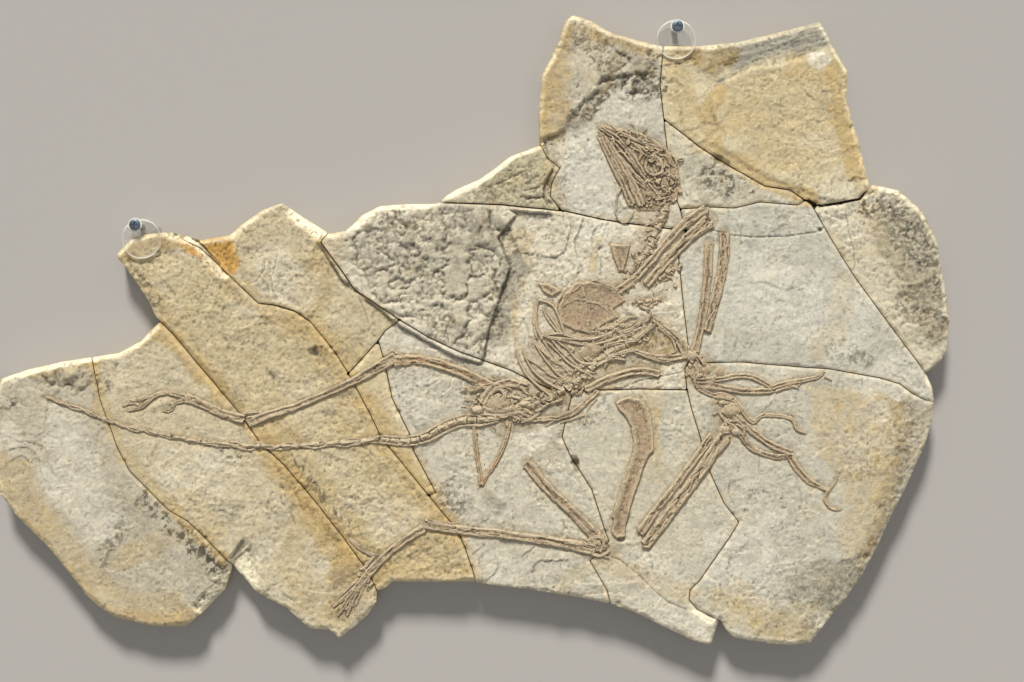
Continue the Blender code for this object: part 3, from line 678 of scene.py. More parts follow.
# Fine struts, splinters and ridges that lie on or beside the main bones
DETAILS: dict[str, tuple[BoneShape, ...]] = {
    "skull": shapes("""
    strands 15 3.4 2 21 598,126 601,141 662,196 652,206 640,209 628,203; strands 7 3.6 1.8 22 604,126
    622,140 664,150 676,172; shards 76 7 15 4.6 2 23 624,138 644,148 660,164 670,188; shards 30 5 11 4 2.2
    37 652,196 664,200 674,186; limb ring sound 4.4 2.2 2.2 2.2 2.2 2.2 650,156 660,160 662,171 653,175
    645,168; rod 2.2 1.6 628,180 622,186 617,198 616,212 619,220 627,222 634,212"""),
    "neck": shapes("""
    shards 46 4.2 8 3.6 2 24 658,204 660,220 654,236 646,250 638,264; shards 24 4 9 3 2 25 638,262 634,276
    628,288"""),
    "shoulder_vertebra_upper": shapes("""
    shards 22 4 7 2.8 2 26 676,266 658,281"""),
    "shoulder_vertebra_lower": shapes("""
    shards 22 3.2 7 2.4 1.8 27 662,298 636,304"""),
    "tail_base": shapes("""
    rod 2.4 1.7 497,413 478,415 456,417 438,425 423,433 406,437 380,436; rod 2.4 1.7 500,421 482,425 462,426
    444,433 428,441 409,445 382,443; rod 2.4 1.7 470,414 462,420 450,424; rod 2.4 1.7 440,425 430,436
    416,438; rod 2.4 1.7 410,436 400,442 388,439"""),
    "tail_middle": shapes("""
    rod 1.9 1.5 381,436 365,440 350,439 334,444 320,441 304,446 290,443 274,447 260,443 246,446 235,442
    218,443 204,440; rod 1.9 1.5 384,443 362,442 348,446 330,445 314,448 298,445 282,449 262,447 250,450
    233,446 220,446 203,443; rod 1.9 1.5 372,437 356,445 340,442; rod 1.9 1.5 328,441 312,447 296,444; rod
    1.9 1.5 286,444 270,449"""),
    "tail_tip": shapes("""
    rod 1.5 1.2 201,440 186,440 170,434 152,434 138,427 124,427 108,419 92,415 78,407 60,403 46,396; rod 1.5
    1.2 201,443 184,438 168,438 148,430 134,431 118,423 104,421 90,411 74,409 58,400"""),
    "sternum": shapes("""
    rod 2 1.5 581,280 577,289 563,295 556,307 563,322 575,328 590,332 604,329; rod 2 1.5 592,281 608,285
    622,293"""),
    "ribs_right": shapes("""
    rod 2.4 1.9 543,336 561,333 575,336 592,338 601,329 613,327 628,318 639,317; rod 2.4 1.9 546,337 570,342
    592,344 604,338 613,332; rod 2.4 1.9 535,302 534,324 537,338; rod 2.4 1.9 543,310 550,322 559,333; rod
    2.4 1.9 580,347 584,354 592,360 604,357 607,347"""),
    "trunk": shapes("""
    shards 70 5 13 3.4 2 28 562,385 580,372 598,358 618,344 640,330; shards 26 4 16 3 2.2 29 600,336 618,330
    636,322; lump 2.2 20 590,351 12,8; rod 3.4 2.6 604,347 619,342 635,340 646,331 655,324; rod 3.4 2.6
    608,357 624,352 638,350; rod 3.4 2.6 618,334 630,330 642,322; rod 3.4 2.6 596,366 612,358 626,360; rod
    3.4 2.6 640,306 650,312 646,322; rod 2 1.7 537,345 552,360 566,367; rod 2 1.7 543,340 555,358 570,374;
    rod 2 1.7 550,338 563,353 581,369 595,378; rod 2 1.7 552,361 566,356 574,350; rod 2 1.7 524,357 535,363
    550,374 561,381"""),
    "furcula": shapes("""
    rod 2.4 1.8 658,327 671,338 675,347 673,353 655,356 639,351;
    rod 2.4 1.8 644,356 660,361 673,360 684,356"""),
    "sacrum": shapes("""
    shards 60 5 12 3.4 2 30 508,410 530,403 552,394 576,380; rod 3.4 2.2 520,402 534,398 548,404; rod 3.4
    2.2 536,412 550,404 562,400; rod 3.4 2.2 556,388 566,380 578,384; rod 3.4 2.2 512,416 528,420 540,412"""),
    "pelvis": shapes("""
    shards 40 6 13 3.6 2 31 468,394 486,388 506,390 530,398; shards 34 5 13 3.2 2 32 474,410 496,414
    520,416; rod 4 2.2 470,392 484,386 498,384 512,390; rod 4 2.2 474,412 486,420 500,418; rod 4 2.2 512,396
    524,400 534,408; rod 4 2.2 508,404 516,412 526,420; rod 4 2.2 478,398 484,406 480,416; rod 4 2.2 520,386
    528,394 536,396; lump 3.8 524,404 6,4; lump 3.4 478,410 6,5"""),
    "ischium": shapes("""
    rod 1.8 2 560,423 572,419 585,415; rod 1.8 2 584,424 588,409 597,398;
    rod 1.8 2 545,427 560,416 572,410"""),
    "hand_right": shapes("""
    shards 46 4.5 9 3 2 33 690,352 694,366 698,384 716,380; rod 2.4 2 688,352 700,358 704,366; rod 2.4 2
    692,362 698,372 694,382; rod 2.4 2 716,397 730,399 744,410; rod 2.4 2 824,376 832,380; rod 2.4 2 776,391
    790,386 798,388; lump 2.6 692,356 6,6; lump 1.2 706,370 5,5; lump 1.2 720,372 5,6"""),
    "hand_left": shapes("""
    shards 42 4.5 9 3.2 2 34 720,402 732,410 728,428 740,434; rod 2.6 2.2 722,402 732,404 740,412; rod 2.6
    2.2 718,412 726,420 736,420; rod 2.6 2.2 736,424 744,430 742,438; lump 3 20 724,430 7,5; lump 2.6
    736,432 5,4"""),
    "foot_right": shapes("""
    shards 34 3.6 9 2.4 1.8 35 372,566 362,582 348,606; rod 1.8 2.2 364,576 352,584 343,594; rod 1.8 2.2
    369,573 362,590 356,606; rod 1.8 2.2 374,556 366,566 360,570; rod 1.8 2.2 350,539 360,549 376,557"""),
    "tibia_right": shapes("""
    rod 3 2 426,519 440,522 455,524; rod 3 2 586,541 598,536 604,544"""),
    "femur_right": shapes("""
    rod 2.6 2.2 594,536 604,540 600,552; rod 2.6 2.2 588,552 600,556 610,550; shards 26 3.6 9 3 2.2 36
    590,542 602,548 606,556"""),
    "tibia_left": shapes("""
    rod 2.4 2 384,356 392,352 404,356; rod 2.4 2 240,416 248,412 262,412"""),
    "foot_left": shapes("""
    rod 1.8 1.8 176,402 166,404 160,400; rod 1.8 1.8 150,396 140,400 130,400"""),
}


@dataclass(frozen=True)
class RoughZone:
    """A rough patch of stone: its lumps in millimetres, a stain with its strength, and its grain. Below the
    head bed's edge two zones' stains are painted shade.

    The grain is the angle in degrees along which its ridges run, where it has any.
    """

    tint: str
    edge: tuple[Point, ...]
    lumps: float
    strength: float
    grain: float | None = None

    def relief(self, x: Array, y: Array, noise: Noise) -> Array:
        """The patch's lumps, or the ridges along its grain.

        Args:
            x, y: plan coordinates in metres.
            noise: the noise that shapes them.
        Returns:
            Heights in metres.
        """
        if self.grain is None:
            rough = noise.layered(x + 2, y, 14 * MM, 5, 0.66)
            chunks = 2.4 * np.abs(noise.layered(x + 2, y, 17 * MM, 4, 0.5)) - 0.5
            return self.lumps * MM * (rough if self.lumps < 2 else chunks + 0.3 * rough)
        c, s = math.cos(math.radians(self.grain)), math.sin(math.radians(self.grain))
        return self.lumps * MM * noise.layered(0.16 * (x * c + y * s), y * c - x * s, 5 * MM, 4, 0.75)


# The dark #978E79 and #857B66 zones, on the broken slope below the head bed's edge, are painted shade over
# their lumps
ROUGH_ZONES = tuple(RoughZone(row.words[0], row.points, *row.sizes) for row in rows_of("""
    #BBA67A 0.35 0.1 -50 166,318 128,262 150,240 226,268 250,300 300,322 340,366 470,574 380,574 360,560
    240,405;
    #B7A885 1.7 0.25 166,318 128,262 150,240 226,268 250,300 300,322 340,366 470,574 380,574 360,560
    240,405;
    #C39A52 0.5 0.95 192,238 228,232 238,250 234,276 219,269 204,252;
    #BFA56F 0.5 0.5 806,386 852,390 896,400 912,440 900,480 877,548 847,561 835,523 852,507 831,477 810,444
    814,411;
    #928B77 1.3 0.6 789,573 818,557 850,560 880,540 860,584 831,623 810,607 785,598;
    #99896A 1.1 0.5 893,400 930,400 937,420 905,490 866,577 850,572 880,500 898,440;
    #BDA878 0.5 0.5 706,586 727,590 760,607 810,609 806,643 727,630 706,602;
    #BBA883 1.1 0.22 236,236 284,206 326,240 346,288 396,322 352,366 318,326 276,302 240,280;
    #B9A984 1 0.15 96,362 158,326 226,404 360,570 300,600 160,500;
    #A9A08B 3.2 0.45 328,240 352,228 384,208 440,204 500,214 508,236 500,270 505,306 490,344 462,350 424,332
    380,306;
    #A98F62 0.9 0.35 544,60 562,22 600,30 656,48 657,76 622,80 600,98 582,112 560,124 544,100;
    #978E79 2.2 0.45 618,54 656,56 658,92 636,96 622,82 606,90 596,80;
    #857B66 1.6 0.5 566,138 574,118 588,98 604,80 624,72 634,84 612,92 598,106 586,124 578,140;
    #9A968A 1.3 0.95 19 712,90 722,74 738,58 742,44 780,32 822,21 832,46 804,50 782,56 758,60 738,70 722,84;
    #937C50 1.8 0.75 668,48 736,44 736,60 716,78 690,66;
    #968E79 1.9 0.5 882,190 922,208 940,240 947,290 949,345 930,352 914,326 906,290 880,250 868,214;
    #A79C80 1.9 0.4 448,202 500,170 545,145 562,166 552,202 500,208;
    #A2977D 2.6 0.6 26,374 60,362 94,364 98,384 74,396 40,388;
    #988F7A 0.5 0.35 96,484 150,494 206,548 228,588 204,606 176,578 132,536;
    #B9A171 0.8 0.35 376,548 440,528 472,556 474,584 392,584 374,600;
    #B79C68 0.8 0.45 262,440 300,470 344,530 372,576 340,632 318,620 330,560 280,480;
    #8E7757 0.9 0.5 532,338 560,326 620,318 656,316 690,352 660,372 604,392 552,404 520,372;
    #8A7456 1 0.6 464,378 540,382 582,376 590,396 548,424 500,436 466,428;
    #A08C6C 0.5 0.35 560,286 620,280 640,300 610,336 560,334 536,316;
    #8E7757 0.7 0.5 684,350 712,350 728,372 716,386 684,384;
    #8E7757 0.8 0.5 714,400 744,404 748,438 722,442 708,420;
    #927B5A 0.7 0.45 580,522 614,520 626,548 606,562 580,556;
    #94805E 0.7 0.4 334,562 378,552 380,580 350,622 326,618;
    #8E7757 0.6 0.4 628,186 684,186 664,230 640,280 616,300 610,280 640,236;
    #A08F6E 0.9 0.4 120,246 150,236 184,234 176,252 150,266 124,262;
    #8F8A7A 0.5 0.35 690,150 740,176 750,196 700,204 680,170;
    #A3987E 0.5 0.3 770,560 840,560 812,640 770,640"""))


@dataclass(frozen=True)
class Bed:
    """A bed of stone that stands above the bone level inside its edge. Sizes are in millimetres."""

    edge: tuple[Point, ...]
    rise: float
    slope: float = 1.6
    rag: float = 1.0


BEDS = tuple(Bed(row.points, *row.sizes) for row in rows_of("""
    3.4 326,222 346,222 380,196 440,196 500,200 519,215 500,238 512,268 500,300 490,332 484,366 455,358
    400,328 372,306 340,280 318,244;
    3.2 428,206 455,182 500,158 545,140 550,160 556,168 547,182 545,198 556,216 500,212;
    3.7 6 3 530,148 530,80 556,10 580,5 612,26 651,36 652,76 630,79 608,82 592,100 576,116 570,134 555,140;
    1.3 5 2.6 716,82 745,66 800,55 838,44 860,90 882,190 850,208 815,200 765,180 730,160 706,144 715,128
    707,106;
    -3.6 7 0.6 176,222 246,222 236,250 236,284 214,268 196,250"""))


@dataclass(frozen=True)
class Cut:
    """A groove along a path, or a ridge where its depth is negative. Width and depth in millimetres."""

    path: tuple[Point, ...]
    width: float
    depth: float


CUTS = tuple(Cut(row.points, *row.sizes) for row in rows_of("""
    3.8 1.3 163,326 197,361 232,409;
    0.9 0.5 351,290 360,299 364,309 369,324 373,335 381,340;
    1.2 0.6 485,190 505,181 526,171;
    1.2 0.6 525,191 538,188 551,180;
    1.5 0.8 521,197 527,199 544,198 551,203 562,209;
    0.9 0.6 845,214 848,222 849,232 854,249 855,264 854,271;
    0.7 0.3 740,522 750,497 758,478 760,450;
    1 0.7 686,230 709,229 730,235 750,237 763,237 789,236 817,232 822,229;
    0.9 0.6 546,389 566,392 596,389 609,390 620,389 639,381 657,377 684,372;
    0.9 0.6 607,555 620,560 639,575 657,593 668,602 685,609;
    1.2 0.8 703,363 696,366 690,358"""))


@dataclass(frozen=True)
class Facet:
    """A freshly split edge that slopes down to its path from the left. Width and drop in millimetres."""

    path: tuple[Point, ...]
    width: float
    drop: float
    beyond: bool = True

    def share(self, x: Array, y: Array) -> Array:
        """How far down the facet each place lies.

        Args:
            x, y: plan coordinates in metres.
        Returns:
            Shares, from 0 at its upper edge to 1 at the path.
        """
        path = curve_through(plan_all(self.path), 4)
        gap, along, side = path_frame(x, y, path)
        ends = smooth(0, 3, along) * smooth(0, 3, len(path) - 1 - along)
        ragged = gap + 0.35 * self.width * MM * CRUSH.layered(x, y, 6 * MM, 4, 0.7)
        inner = np.clip(1 - ragged / (self.width * MM * (0.3 + 0.7 * ends)), 0, 1)
        outer = 1 - smooth(1.2 * self.width * MM, 2 * self.width * MM, gap)
        return np.where(side > 0, inner, np.maximum(inner, outer) * self.beyond) * ends


FACETS = tuple(Facet(row.points, *row.sizes, beyond="near" not in row.words) for row in rows_of("""
    near 7 3 232,279 219,265 208,251 196,240 182,235 160,232;
    9.5 5 333,233 319,227 306,219 294,209 285,203;
    4.6 2.8 150,328 139,338 122,348 98,355 60,362 30,369 0,379;
    12 6 200,616 204,611 213,603 224,591 231,567 226,560;
    4.5 3 440,199 423,204 394,204 379,207 366,215 356,224 344,230;
    4.5 2.4 538,147 518,151 505,160 488,174 460,187 444,199;
    2.6 1.4 717,622 708,620 698,612 686,607"""))


@dataclass(frozen=True)
class Pit:
    """A pit at a sheet point, its radius in sheet units and its depth in millimetres."""

    centre: Point
    radius: float
    depth: float


PITS = tuple(Pit(row.points[0], *row.sizes) for row in rows_of("""
    5 3 575.5,463; 6 1.6 719,160; 3.5 1.5 820,230; 5 2 606,548; 5 1.4 621,539; 4 1.2 442,506; 4 1.5 398,413;
    7 2 318,351; 4 1.2 707,370; 5 1.4 720.5,372; 12 0.9 657,342; 12 0.8 637,364"""))


class Tint(Enum):
    """The stone's stains and tints, with their colours. The pale of a fresh break also serves as painted
    highlight along the rim that faces the light.
    """

    OCHRE = "#B99E69"
    DEEP_OCHRE = "#C4924C"
    CREAM = "#E2DECF"
    FRESH_AND_LIT = "#EDE3C4"
    GREY = "#A19C8C"
    BROWN = "#8A7557"
    DARK = "#4B4438"


@dataclass(frozen=True)
class Stain:
    """A stain along a path, with its reach in sheet units and its strength from 0 to 1."""

    tint: Tint
    path: tuple[Point, ...]
    reach: float
    strength: float
    speckled: bool = False


# Three plain DARK rows lie over the pits at 318,351, 575,463 and 719,160 and darken them
STAINS = tuple(
    Stain(Tint[row.words[0]], row.points, *row.sizes, speckled="specks" in row.words)
    for row in rows_of("""
    OCHRE 34 0.4 5,480 60,570 110,615 170,622; OCHRE 52 0.2 150,250 200,300 250,350 300,400; OCHRE 16 0.35
    120,262 170,330 220,390; OCHRE 30 0.5 275,440 330,520 365,570; OCHRE 22 0.4 330,250 300,320 340,370
    345,350; OCHRE 34 0.35 360,420 420,500 455,570 400,575; OCHRE 14 0.35 120,560 160,540 215,530 180,500;
    OCHRE 16 0.3 300,520 290,560 310,600; OCHRE 42 0.32 750,105 790,100 820,140 780,140; OCHRE 12 0.4 832,70
    842,120 856,172; OCHRE 14 0.3 815,350 838,330 845,280; OCHRE 16 0.35 520,240 515,290 500,330; OCHRE 10
    0.35 560,140 548,180 560,200; OCHRE 16 0.25 650,400 640,440 655,470; OCHRE 14 0.3 870,215 900,260
    930,330; OCHRE 12 0.25 690,595 600,560 560,590; CREAM 26 0.3 60,420 100,520 60,480; CREAM 24 0.3 250,300
    300,290 270,260; DARK specks 15 0.8 148,502 180,530 220,568; DARK specks 14 0.8 288,466 320,508 348,545;
    DARK specks 10 0.6 120,262 140,284 152,302; DARK specks 9 0.6 228,452 238,462; DARK specks 8 0.5 226,388
    240,402; DARK specks 8 0.6 2,402 14,404; DARK specks 9 0.5 90,368 104,384 96,392; DARK specks 8 0.4
    100,560 116,540 126,522; DARK specks 22 0.75 905,232 930,262 944,300; DARK specks 12 0.6 872,208 896,214
    920,222; DARK specks 14 0.55 912,300 938,330; DARK specks 14 0.65 800,596 822,600 838,588; DARK specks
    14 0.65 712,176 730,186 744,190; DARK specks 16 0.65 612,70 636,88 655,84; DARK specks 18 0.45 556,30
    604,40 640,60; DARK specks 7 0.6 585,118 600,98 620,86; DARK specks 34 0.45 380,230 430,250 480,230
    500,260; DARK specks 16 0.45 440,330 480,345 495,320; DARK specks 14 0.45 430,490 460,505 445,520; DARK
    specks 12 0.45 480,196 510,186 530,176; DARK specks 14 0.35 866,470 890,440 905,410; DARK specks 12 0.4
    820,340 840,352 862,356; DARK specks 12 0.35 560,400 590,420 606,400; DARK 5 0.9 312,350 324,353; OCHRE
    20 0.55 556,34 552,80 552,126; OCHRE 5 0.5 598,240 592,268; OCHRE 5 0.5 657,412 655,448; OCHRE 4 0.45
    513,290 517,350; OCHRE 14 0.4 676,60 684,110 700,140; GREY 15 0.75 515,266 506,300 496,336; DARK specks
    9 0.35 512,276 500,300 494,340; DEEP_OCHRE 17 0.95 190,236 204,243 216,250 226,262; OCHRE 9 0.6 118,258
    150,240 190,240; OCHRE 12 0.55 160,330 200,368 240,412 300,490 368,572; OCHRE 12 0.5 232,285 270,310
    320,335 350,376 392,455 460,540; OCHRE 9 0.45 92,362 100,400 120,452 180,518 230,565; OCHRE 8 0.5 30,372
    92,360 140,343 158,325; OCHRE 10 0.4 20,520 60,566 100,608 160,626 200,612; OCHRE 17 0.45 740,590
    772,622 800,628; GREY 13 0.5 905,440 888,500 862,560 830,610; DARK specks 10 0.5 912,425 892,490 866,552
    836,604; DARK specks 10 0.45 760,622 790,632 812,622; GREY 16 0.45 800,585 826,592 840,575; OCHRE 10 0.6
    720,90 706,110 714,130 710,145 760,180 815,202; OCHRE 22 0.45 800,60 840,80 850,120 866,178; OCHRE 10
    0.5 560,25 545,80 541,140; OCHRE 12 0.45 575,20 610,35 650,50; OCHRE 12 0.5 640,341 660,342 676,350;
    GREY 16 0.7 735,50 780,40 820,30; CREAM 13 0.6 816,57 820,60; CREAM 30 0.35 580,150 590,200 600,230;
    CREAM 45 0.3 720,280 790,300 840,320; CREAM 45 0.25 740,560 780,600; GREY 34 0.35 380,250 440,270
    480,230; GREY 26 0.3 900,230 920,270 930,330; DARK 8 0.35 488,497 500,506; DARK 4 0.7 575,458 577,468;
    DARK 4 0.7 714,155 727,163; BROWN 14 0.25 560,440 540,460"""))


@dataclass(frozen=True)
class Fragment:
    """A fragment of the slab: its stone's colour, and how strongly it flakes."""

    tint: str
    slot: str
    flake: float = 0.5
    patchy: float = 0.5
    level: float = 0.0


FRAGMENTS: dict[str, Fragment] = {
    "slab_tail_tip": Fragment("#B9B09B", "tan_mudstone", 0.4, level=-0.25),
    "slab_left": Fragment("#C5B99D", "tan_mudstone", 0.5),
    "slab_band": Fragment("#C8BB9C", "ochre_mudstone", 0.4),
    "slab_shoulder": Fragment("#C4B798", "tan_mudstone", 0.7, level=0.7),
    "slab_strip": Fragment("#CBBC9A", "ochre_mudstone", 0.4, level=0.3),
    "slab_pelvis": Fragment("#C4BDAA", "pale_mudstone", 0.8),
    "slab_wing": Fragment("#C5BEAA", "pale_mudstone", 0.4, level=0.15),
    "slab_breast": Fragment("#D2C9B3", "pale_mudstone", 0.9),
    "slab_wedge": Fragment("#BFB598", "pale_mudstone", 1.0, level=0.3),
    "slab_head": Fragment("#C3BDAB", "pale_mudstone", 0.8),
    "slab_top_corner": Fragment("#CDC09F", "ochre_mudstone", 0.5, level=0.3),
    "slab_nape": Fragment("#C8C0AA", "pale_mudstone", 0.5, level=-0.35),
    "slab_right": Fragment("#BFBBAB", "pale_mudstone", 0.35),
    "slab_right_edge": Fragment("#CAC0A7", "pale_mudstone", 0.9, level=-0.4),
    "slab_lower_right": Fragment("#C0BAA8", "ochre_mudstone", 0.5, level=0.25),
}


class StoneRelief:
    """The height and colour of the stone's face anywhere on the plan."""

    def __init__(self) -> None:
        """Makes the noises and gathers what lies on the slab."""
        self.wave, self.flakes, self.grain, self.mottle, self.rag = (Noise(SEED + k) for k in range(5))
        self.rim = plan_all(OUTLINE)
        self.shapes = [shape for shapes in BONES.values() for shape in shapes]
        self.zones = [(zone, plan_all(zone.edge)) for zone in ROUGH_ZONES]

    def zone_shares(self, x: Array, y: Array) -> Iterable[tuple[RoughZone, Array]]:
        """Goes through the rough zones.

        Args:
            x, y: plan coordinates in metres.
        Returns:
            Each zone with how fully each place belongs to it.
        """
        rag = 7 * MM * self.rag.layered(x + 5, y, 16 * MM, 4, 0.6)
        for zone, edge in self.zones:
            near = in_box(x, y, edge.min(0), edge.max(0), 8 * MM)
            if near.any():
                share = np.zeros(x.shape)
                depth = depth_inside(x[near], y[near], edge) + rag[near]
                share[near] = smooth(-2.5 * MM, 4 * MM, depth)
                yield zone, share

    def coarse(self, x: Array, y: Array) -> Array:
        """The beds and the slow waves, which bones lie on.

        Args:
            x, y: plan coordinates in metres.
        Returns:
            Heights in metres.
        """
        height = SLAB_TOP - 0.25 * MM + 0.35 * MM * self.wave.layered(x, y, 70 * MM, 3)
        rag = self.rag.layered(x, y, 9 * MM, 4)
        raised = np.zeros(x.shape)
        for bed in BEDS:
            edge = plan_all(bed.edge)
            near = in_box(x, y, edge.min(0), edge.max(0), 10 * MM)
            if near.any():
                depth = depth_inside(x[near], y[near], edge) - 0.8 * MM + bed.rag * MM * rag[near]
                step = bed.rise * MM * smooth(0, bed.slope * MM, depth)
                below = raised[near]
                raised[near] = np.maximum(below, step) if bed.rise > 0 else below + step
        return height + raised

    def bone_gap(self, x: Array, y: Array) -> Array:
        """Measures places from the nearest bone's edge.

        Args:
            x, y: plan coordinates in metres.
        Returns:
            Distances in metres, up to a centimetre.
        """
        nearest = np.full(x.shape, 10 * MM)
        for shape in self.shapes:
            near = in_box(x, y, *footprint(shape), 10 * MM)
            if near.any():
                nearest[near] = np.minimum(nearest[near], shape.edge_gap(x[near], y[near]))
        return nearest

    def fine(self, x: Array, y: Array, depth: Array, flake: float) -> Array:
        """The stone's finished height.

        Args:
            x, y: plan coordinates in metres.
            depth: how far inside its fragment's edge each place is.
            flake: how strongly the fragment flakes.
        Returns:
            Heights in metres.
        """
        height = self.coarse(x, y)
        gap = self.bone_gap(x, y)
        calm = 0.25 + 0.75 * smooth(0, 6 * MM, gap)
        torn = 0.16 * self.grain.layered(x, y, 4 * MM, 3, 0.7)
        for size, steps, drop, shift in ((58, 3.2, 1.3, 0), (31, 2.6, 0.8, 7), (19, 2.4, 0.5, 13)):
            bend = self.flakes.layered(x - shift, y, size * MM, 3, 0.4) * steps + torn
            rest = bend - np.floor(bend)
            patchy = smooth(-0.02, 0.3, self.mottle.layered(x + 6 + shift, y, 0.6 * size * MM, 3))
            here = (0.2 + 0.8 * flake) * patchy
            height += here * calm * drop * MM * (smooth(0.0, 0.12, rest) - rest)
        for zone, share in self.zone_shares(x, y):
            height += share * calm * zone.relief(x, y, self.flakes)
        bruised = smooth(-0.35, 0.4, self.mottle.layered(x, y - 4, 24 * MM, 3))
        rough = (0.45 + 0.75 * flake) * (0.55 + 0.9 * bruised)
        height += (0.3 + 0.5 * flake) * calm * MM * self.wave.layered(x + 3, y, 19 * MM, 3, 0.6)
        height += rough * 0.40 * MM * self.grain.layered(x, y, 7 * MM, 4, 0.8)
        height += rough * 0.36 * MM * self.grain.layered(x + 1, y, 2.7 * MM, 2, 0.8)
        scored = self.wave.layered((x + y) * 0.9 / 6, (x - y) * 0.9, 2.6 * MM, 3, 0.7)
        height += rough * 0.06 * MM * scored * smooth(-0.02, -0.12, x)
        height -= 0.35 * MM * (1 - smooth(0, 2.2 * MM, gap)) * (0.6 + 0.4 * self.wave.even(x, y, 4 * MM))
        for cut in CUTS:
            apart, _ = path_distance(x, y, plan_all(cut.path))
            apart = apart + 0.25 * MM * self.rag.layered(x, y, 3 * MM, 2)
            height -= cut.depth * MM * (1 - smooth(0.15 * cut.width * MM, cut.width * MM, apart))
        for facet in FACETS:
            height -= facet.drop * MM * facet.share(x, y)
        for pit in PITS:
            cx, cy = plan(pit.centre)
            share = np.hypot(x - cx, y - cy) / (pit.radius * SHEET_UNIT)
            height -= pit.depth * MM * (1 - smooth(0.35, 1, share + 0.3 * self.rag.layered(x, y, 3 * MM, 2)))
        outer, _ = path_distance(x, y, self.rim, ring=True)
        is_rim = 1 - smooth(0, 1.2 * MM, outer - depth)
        wide = np.clip(0.5 + 0.8 * self.rag.layered(x, y, 16 * MM, 4, 0.6), 0, 1)
        chip = smooth(0.25, 0.55, self.flakes.layered(x - 3, y, 9 * MM, 3, 0.7))
        lit = is_rim * self.lit_side(x, y)
        width = (0.8 + 0.8 * wide + 1.6 * chip + is_rim * (0.6 + 2.4 * wide) + lit * 1.2 * wide) * MM
        drop = (0.45 + 0.6 * wide + 1.0 * chip + is_rim * (0.4 + 1.6 * wide) + lit * 0.8 * wide) * MM
        return pressed(height - drop * np.clip(1 - depth / width, 0, 1) ** 1.3, CEILING - MM)

    def lit_side(self, x: Array, y: Array) -> Array:
        """How far the nearest stretch of the slab's rim faces the sheet's top, where its edge split wide.

        Args:
            x, y: plan coordinates in metres.
        Returns:
            Shares.
        """
        here, _ = path_distance(x, y, self.rim, ring=True)
        there, _ = path_distance(x, y + 3 * MM, self.rim, ring=True)
        return smooth(0.1, 0.6, (here - there) / (3 * MM))

    def colour(self, x: Array, y: Array, depth: Array, fragment: Fragment) -> Array:
        """The stone's colour, linear, one row for each place.

        Args:
            x, y: plan coordinates in metres.
            depth: how far inside its fragment's edge each place is.
            fragment: the fragment's own stone.
        Returns:
            Rows of red, green and blue.
        """
        colour = np.tile(np.array(linear(fragment.tint)), (len(x), 1))

        def blend(tint: Tint | str, share: Array) -> None:
            """Mixes a stain in.

            Args:
                tint: the stain's colour.
                share: how much of it each place takes.
            """
            nonlocal colour
            share = np.clip(share, 0, 1)[:, None]
            tint = tint.value if isinstance(tint, Tint) else tint
            colour = colour * (1 - share) + np.array(linear(tint)) * share

        cloud = self.mottle.layered(x, y, 45 * MM, 5, 0.6)
        patch = self.mottle.layered(x, y + 2, 9 * MM, 5, 0.75)
        blend(Tint.CREAM, fragment.patchy * smooth(0.05, 0.6, cloud))
        blend(Tint.GREY, 0.5 * fragment.patchy * smooth(0.1, 0.7, -cloud))
        rag = 6 * self.rag.layered(x, y, 12 * MM, 4, 0.6)
        for stain in STAINS:
            apart, _ = path_distance(x, y, plan_all(stain.path))
            torn = rag * min(1.5, stain.reach / 9)
            share = 1 - smooth(0.62 * stain.reach, stain.reach, apart / SHEET_UNIT + torn)
            if stain.speckled:
                share = share * smooth(0.0, 0.13, self.flakes.layered(x, y - 3, 3.6 * MM, 3, 0.85))
            blend(stain.tint, stain.strength * share * (1.4 if stain.speckled else 1.0) * (1 + 0.5 * patch))
        for zone, share in self.zone_shares(x, y):
            blend(zone.tint, zone.strength * share * (0.55 + 0.9 * np.clip(patch + 0.3, 0, 1)))
        blend(Tint.OCHRE, 0.20 * smooth(0.1, 0.6, patch) + 0.08 * smooth(0.1, 0.5, cloud))
        edge = 1 - smooth(0, 3.5 * MM, depth + 1.2 * MM * self.rag.layered(x, y, 8 * MM, 3))
        blend(Tint.OCHRE, 0.34 * edge * smooth(-0.3, 0.3, patch))
        # Along the slab's rim the pale of a fresh break is mixed in, and more of it where the rim faces the
        # sheet's top, towards the light, as painted highlight
        outer, _ = path_distance(x, y, self.rim, ring=True)
        fresh_and_lit_rim = (1 - smooth(1.5 * MM, 4.5 * MM, outer + 2 * MM * rag / 6)) * (outer < depth + 1.5 * MM)
        blend(Tint.FRESH_AND_LIT, 0.7 * fresh_and_lit_rim * (0.3 + 0.7 * self.lit_side(x, y)))
        for facet in FACETS:
            share = facet.share(x, y)
            blend(Tint.FRESH_AND_LIT, 0.85 * smooth(0.02, 0.2, share) * (0.8 + 0.4 * patch))
        gap = self.bone_gap(x, y)
        rough = 0.5 + 0.5 * self.mottle.layered(x, y, 7 * MM, 4, 0.7)
        blend(Tint.BROWN, 0.42 * (1 - smooth(0, 1.8 * MM, gap + 3.5 * MM * (rough - 0.4))))
        blend(Tint.OCHRE, 0.16 * (1 - smooth(2 * MM, 9 * MM, gap)) * rough)
        specks = self.grain.layered(x, y, 2.6 * MM, 3, 0.8)
        blend(Tint.DARK, 0.45 * smooth(0.36, 0.62, specks + 0.16 * patch))
        fine = self.flakes.layered(x + 4, y, 2.2 * MM, 2, 0.8)
        return colour * (1 + 0.18 * fine + 0.14 * patch)[:, None]


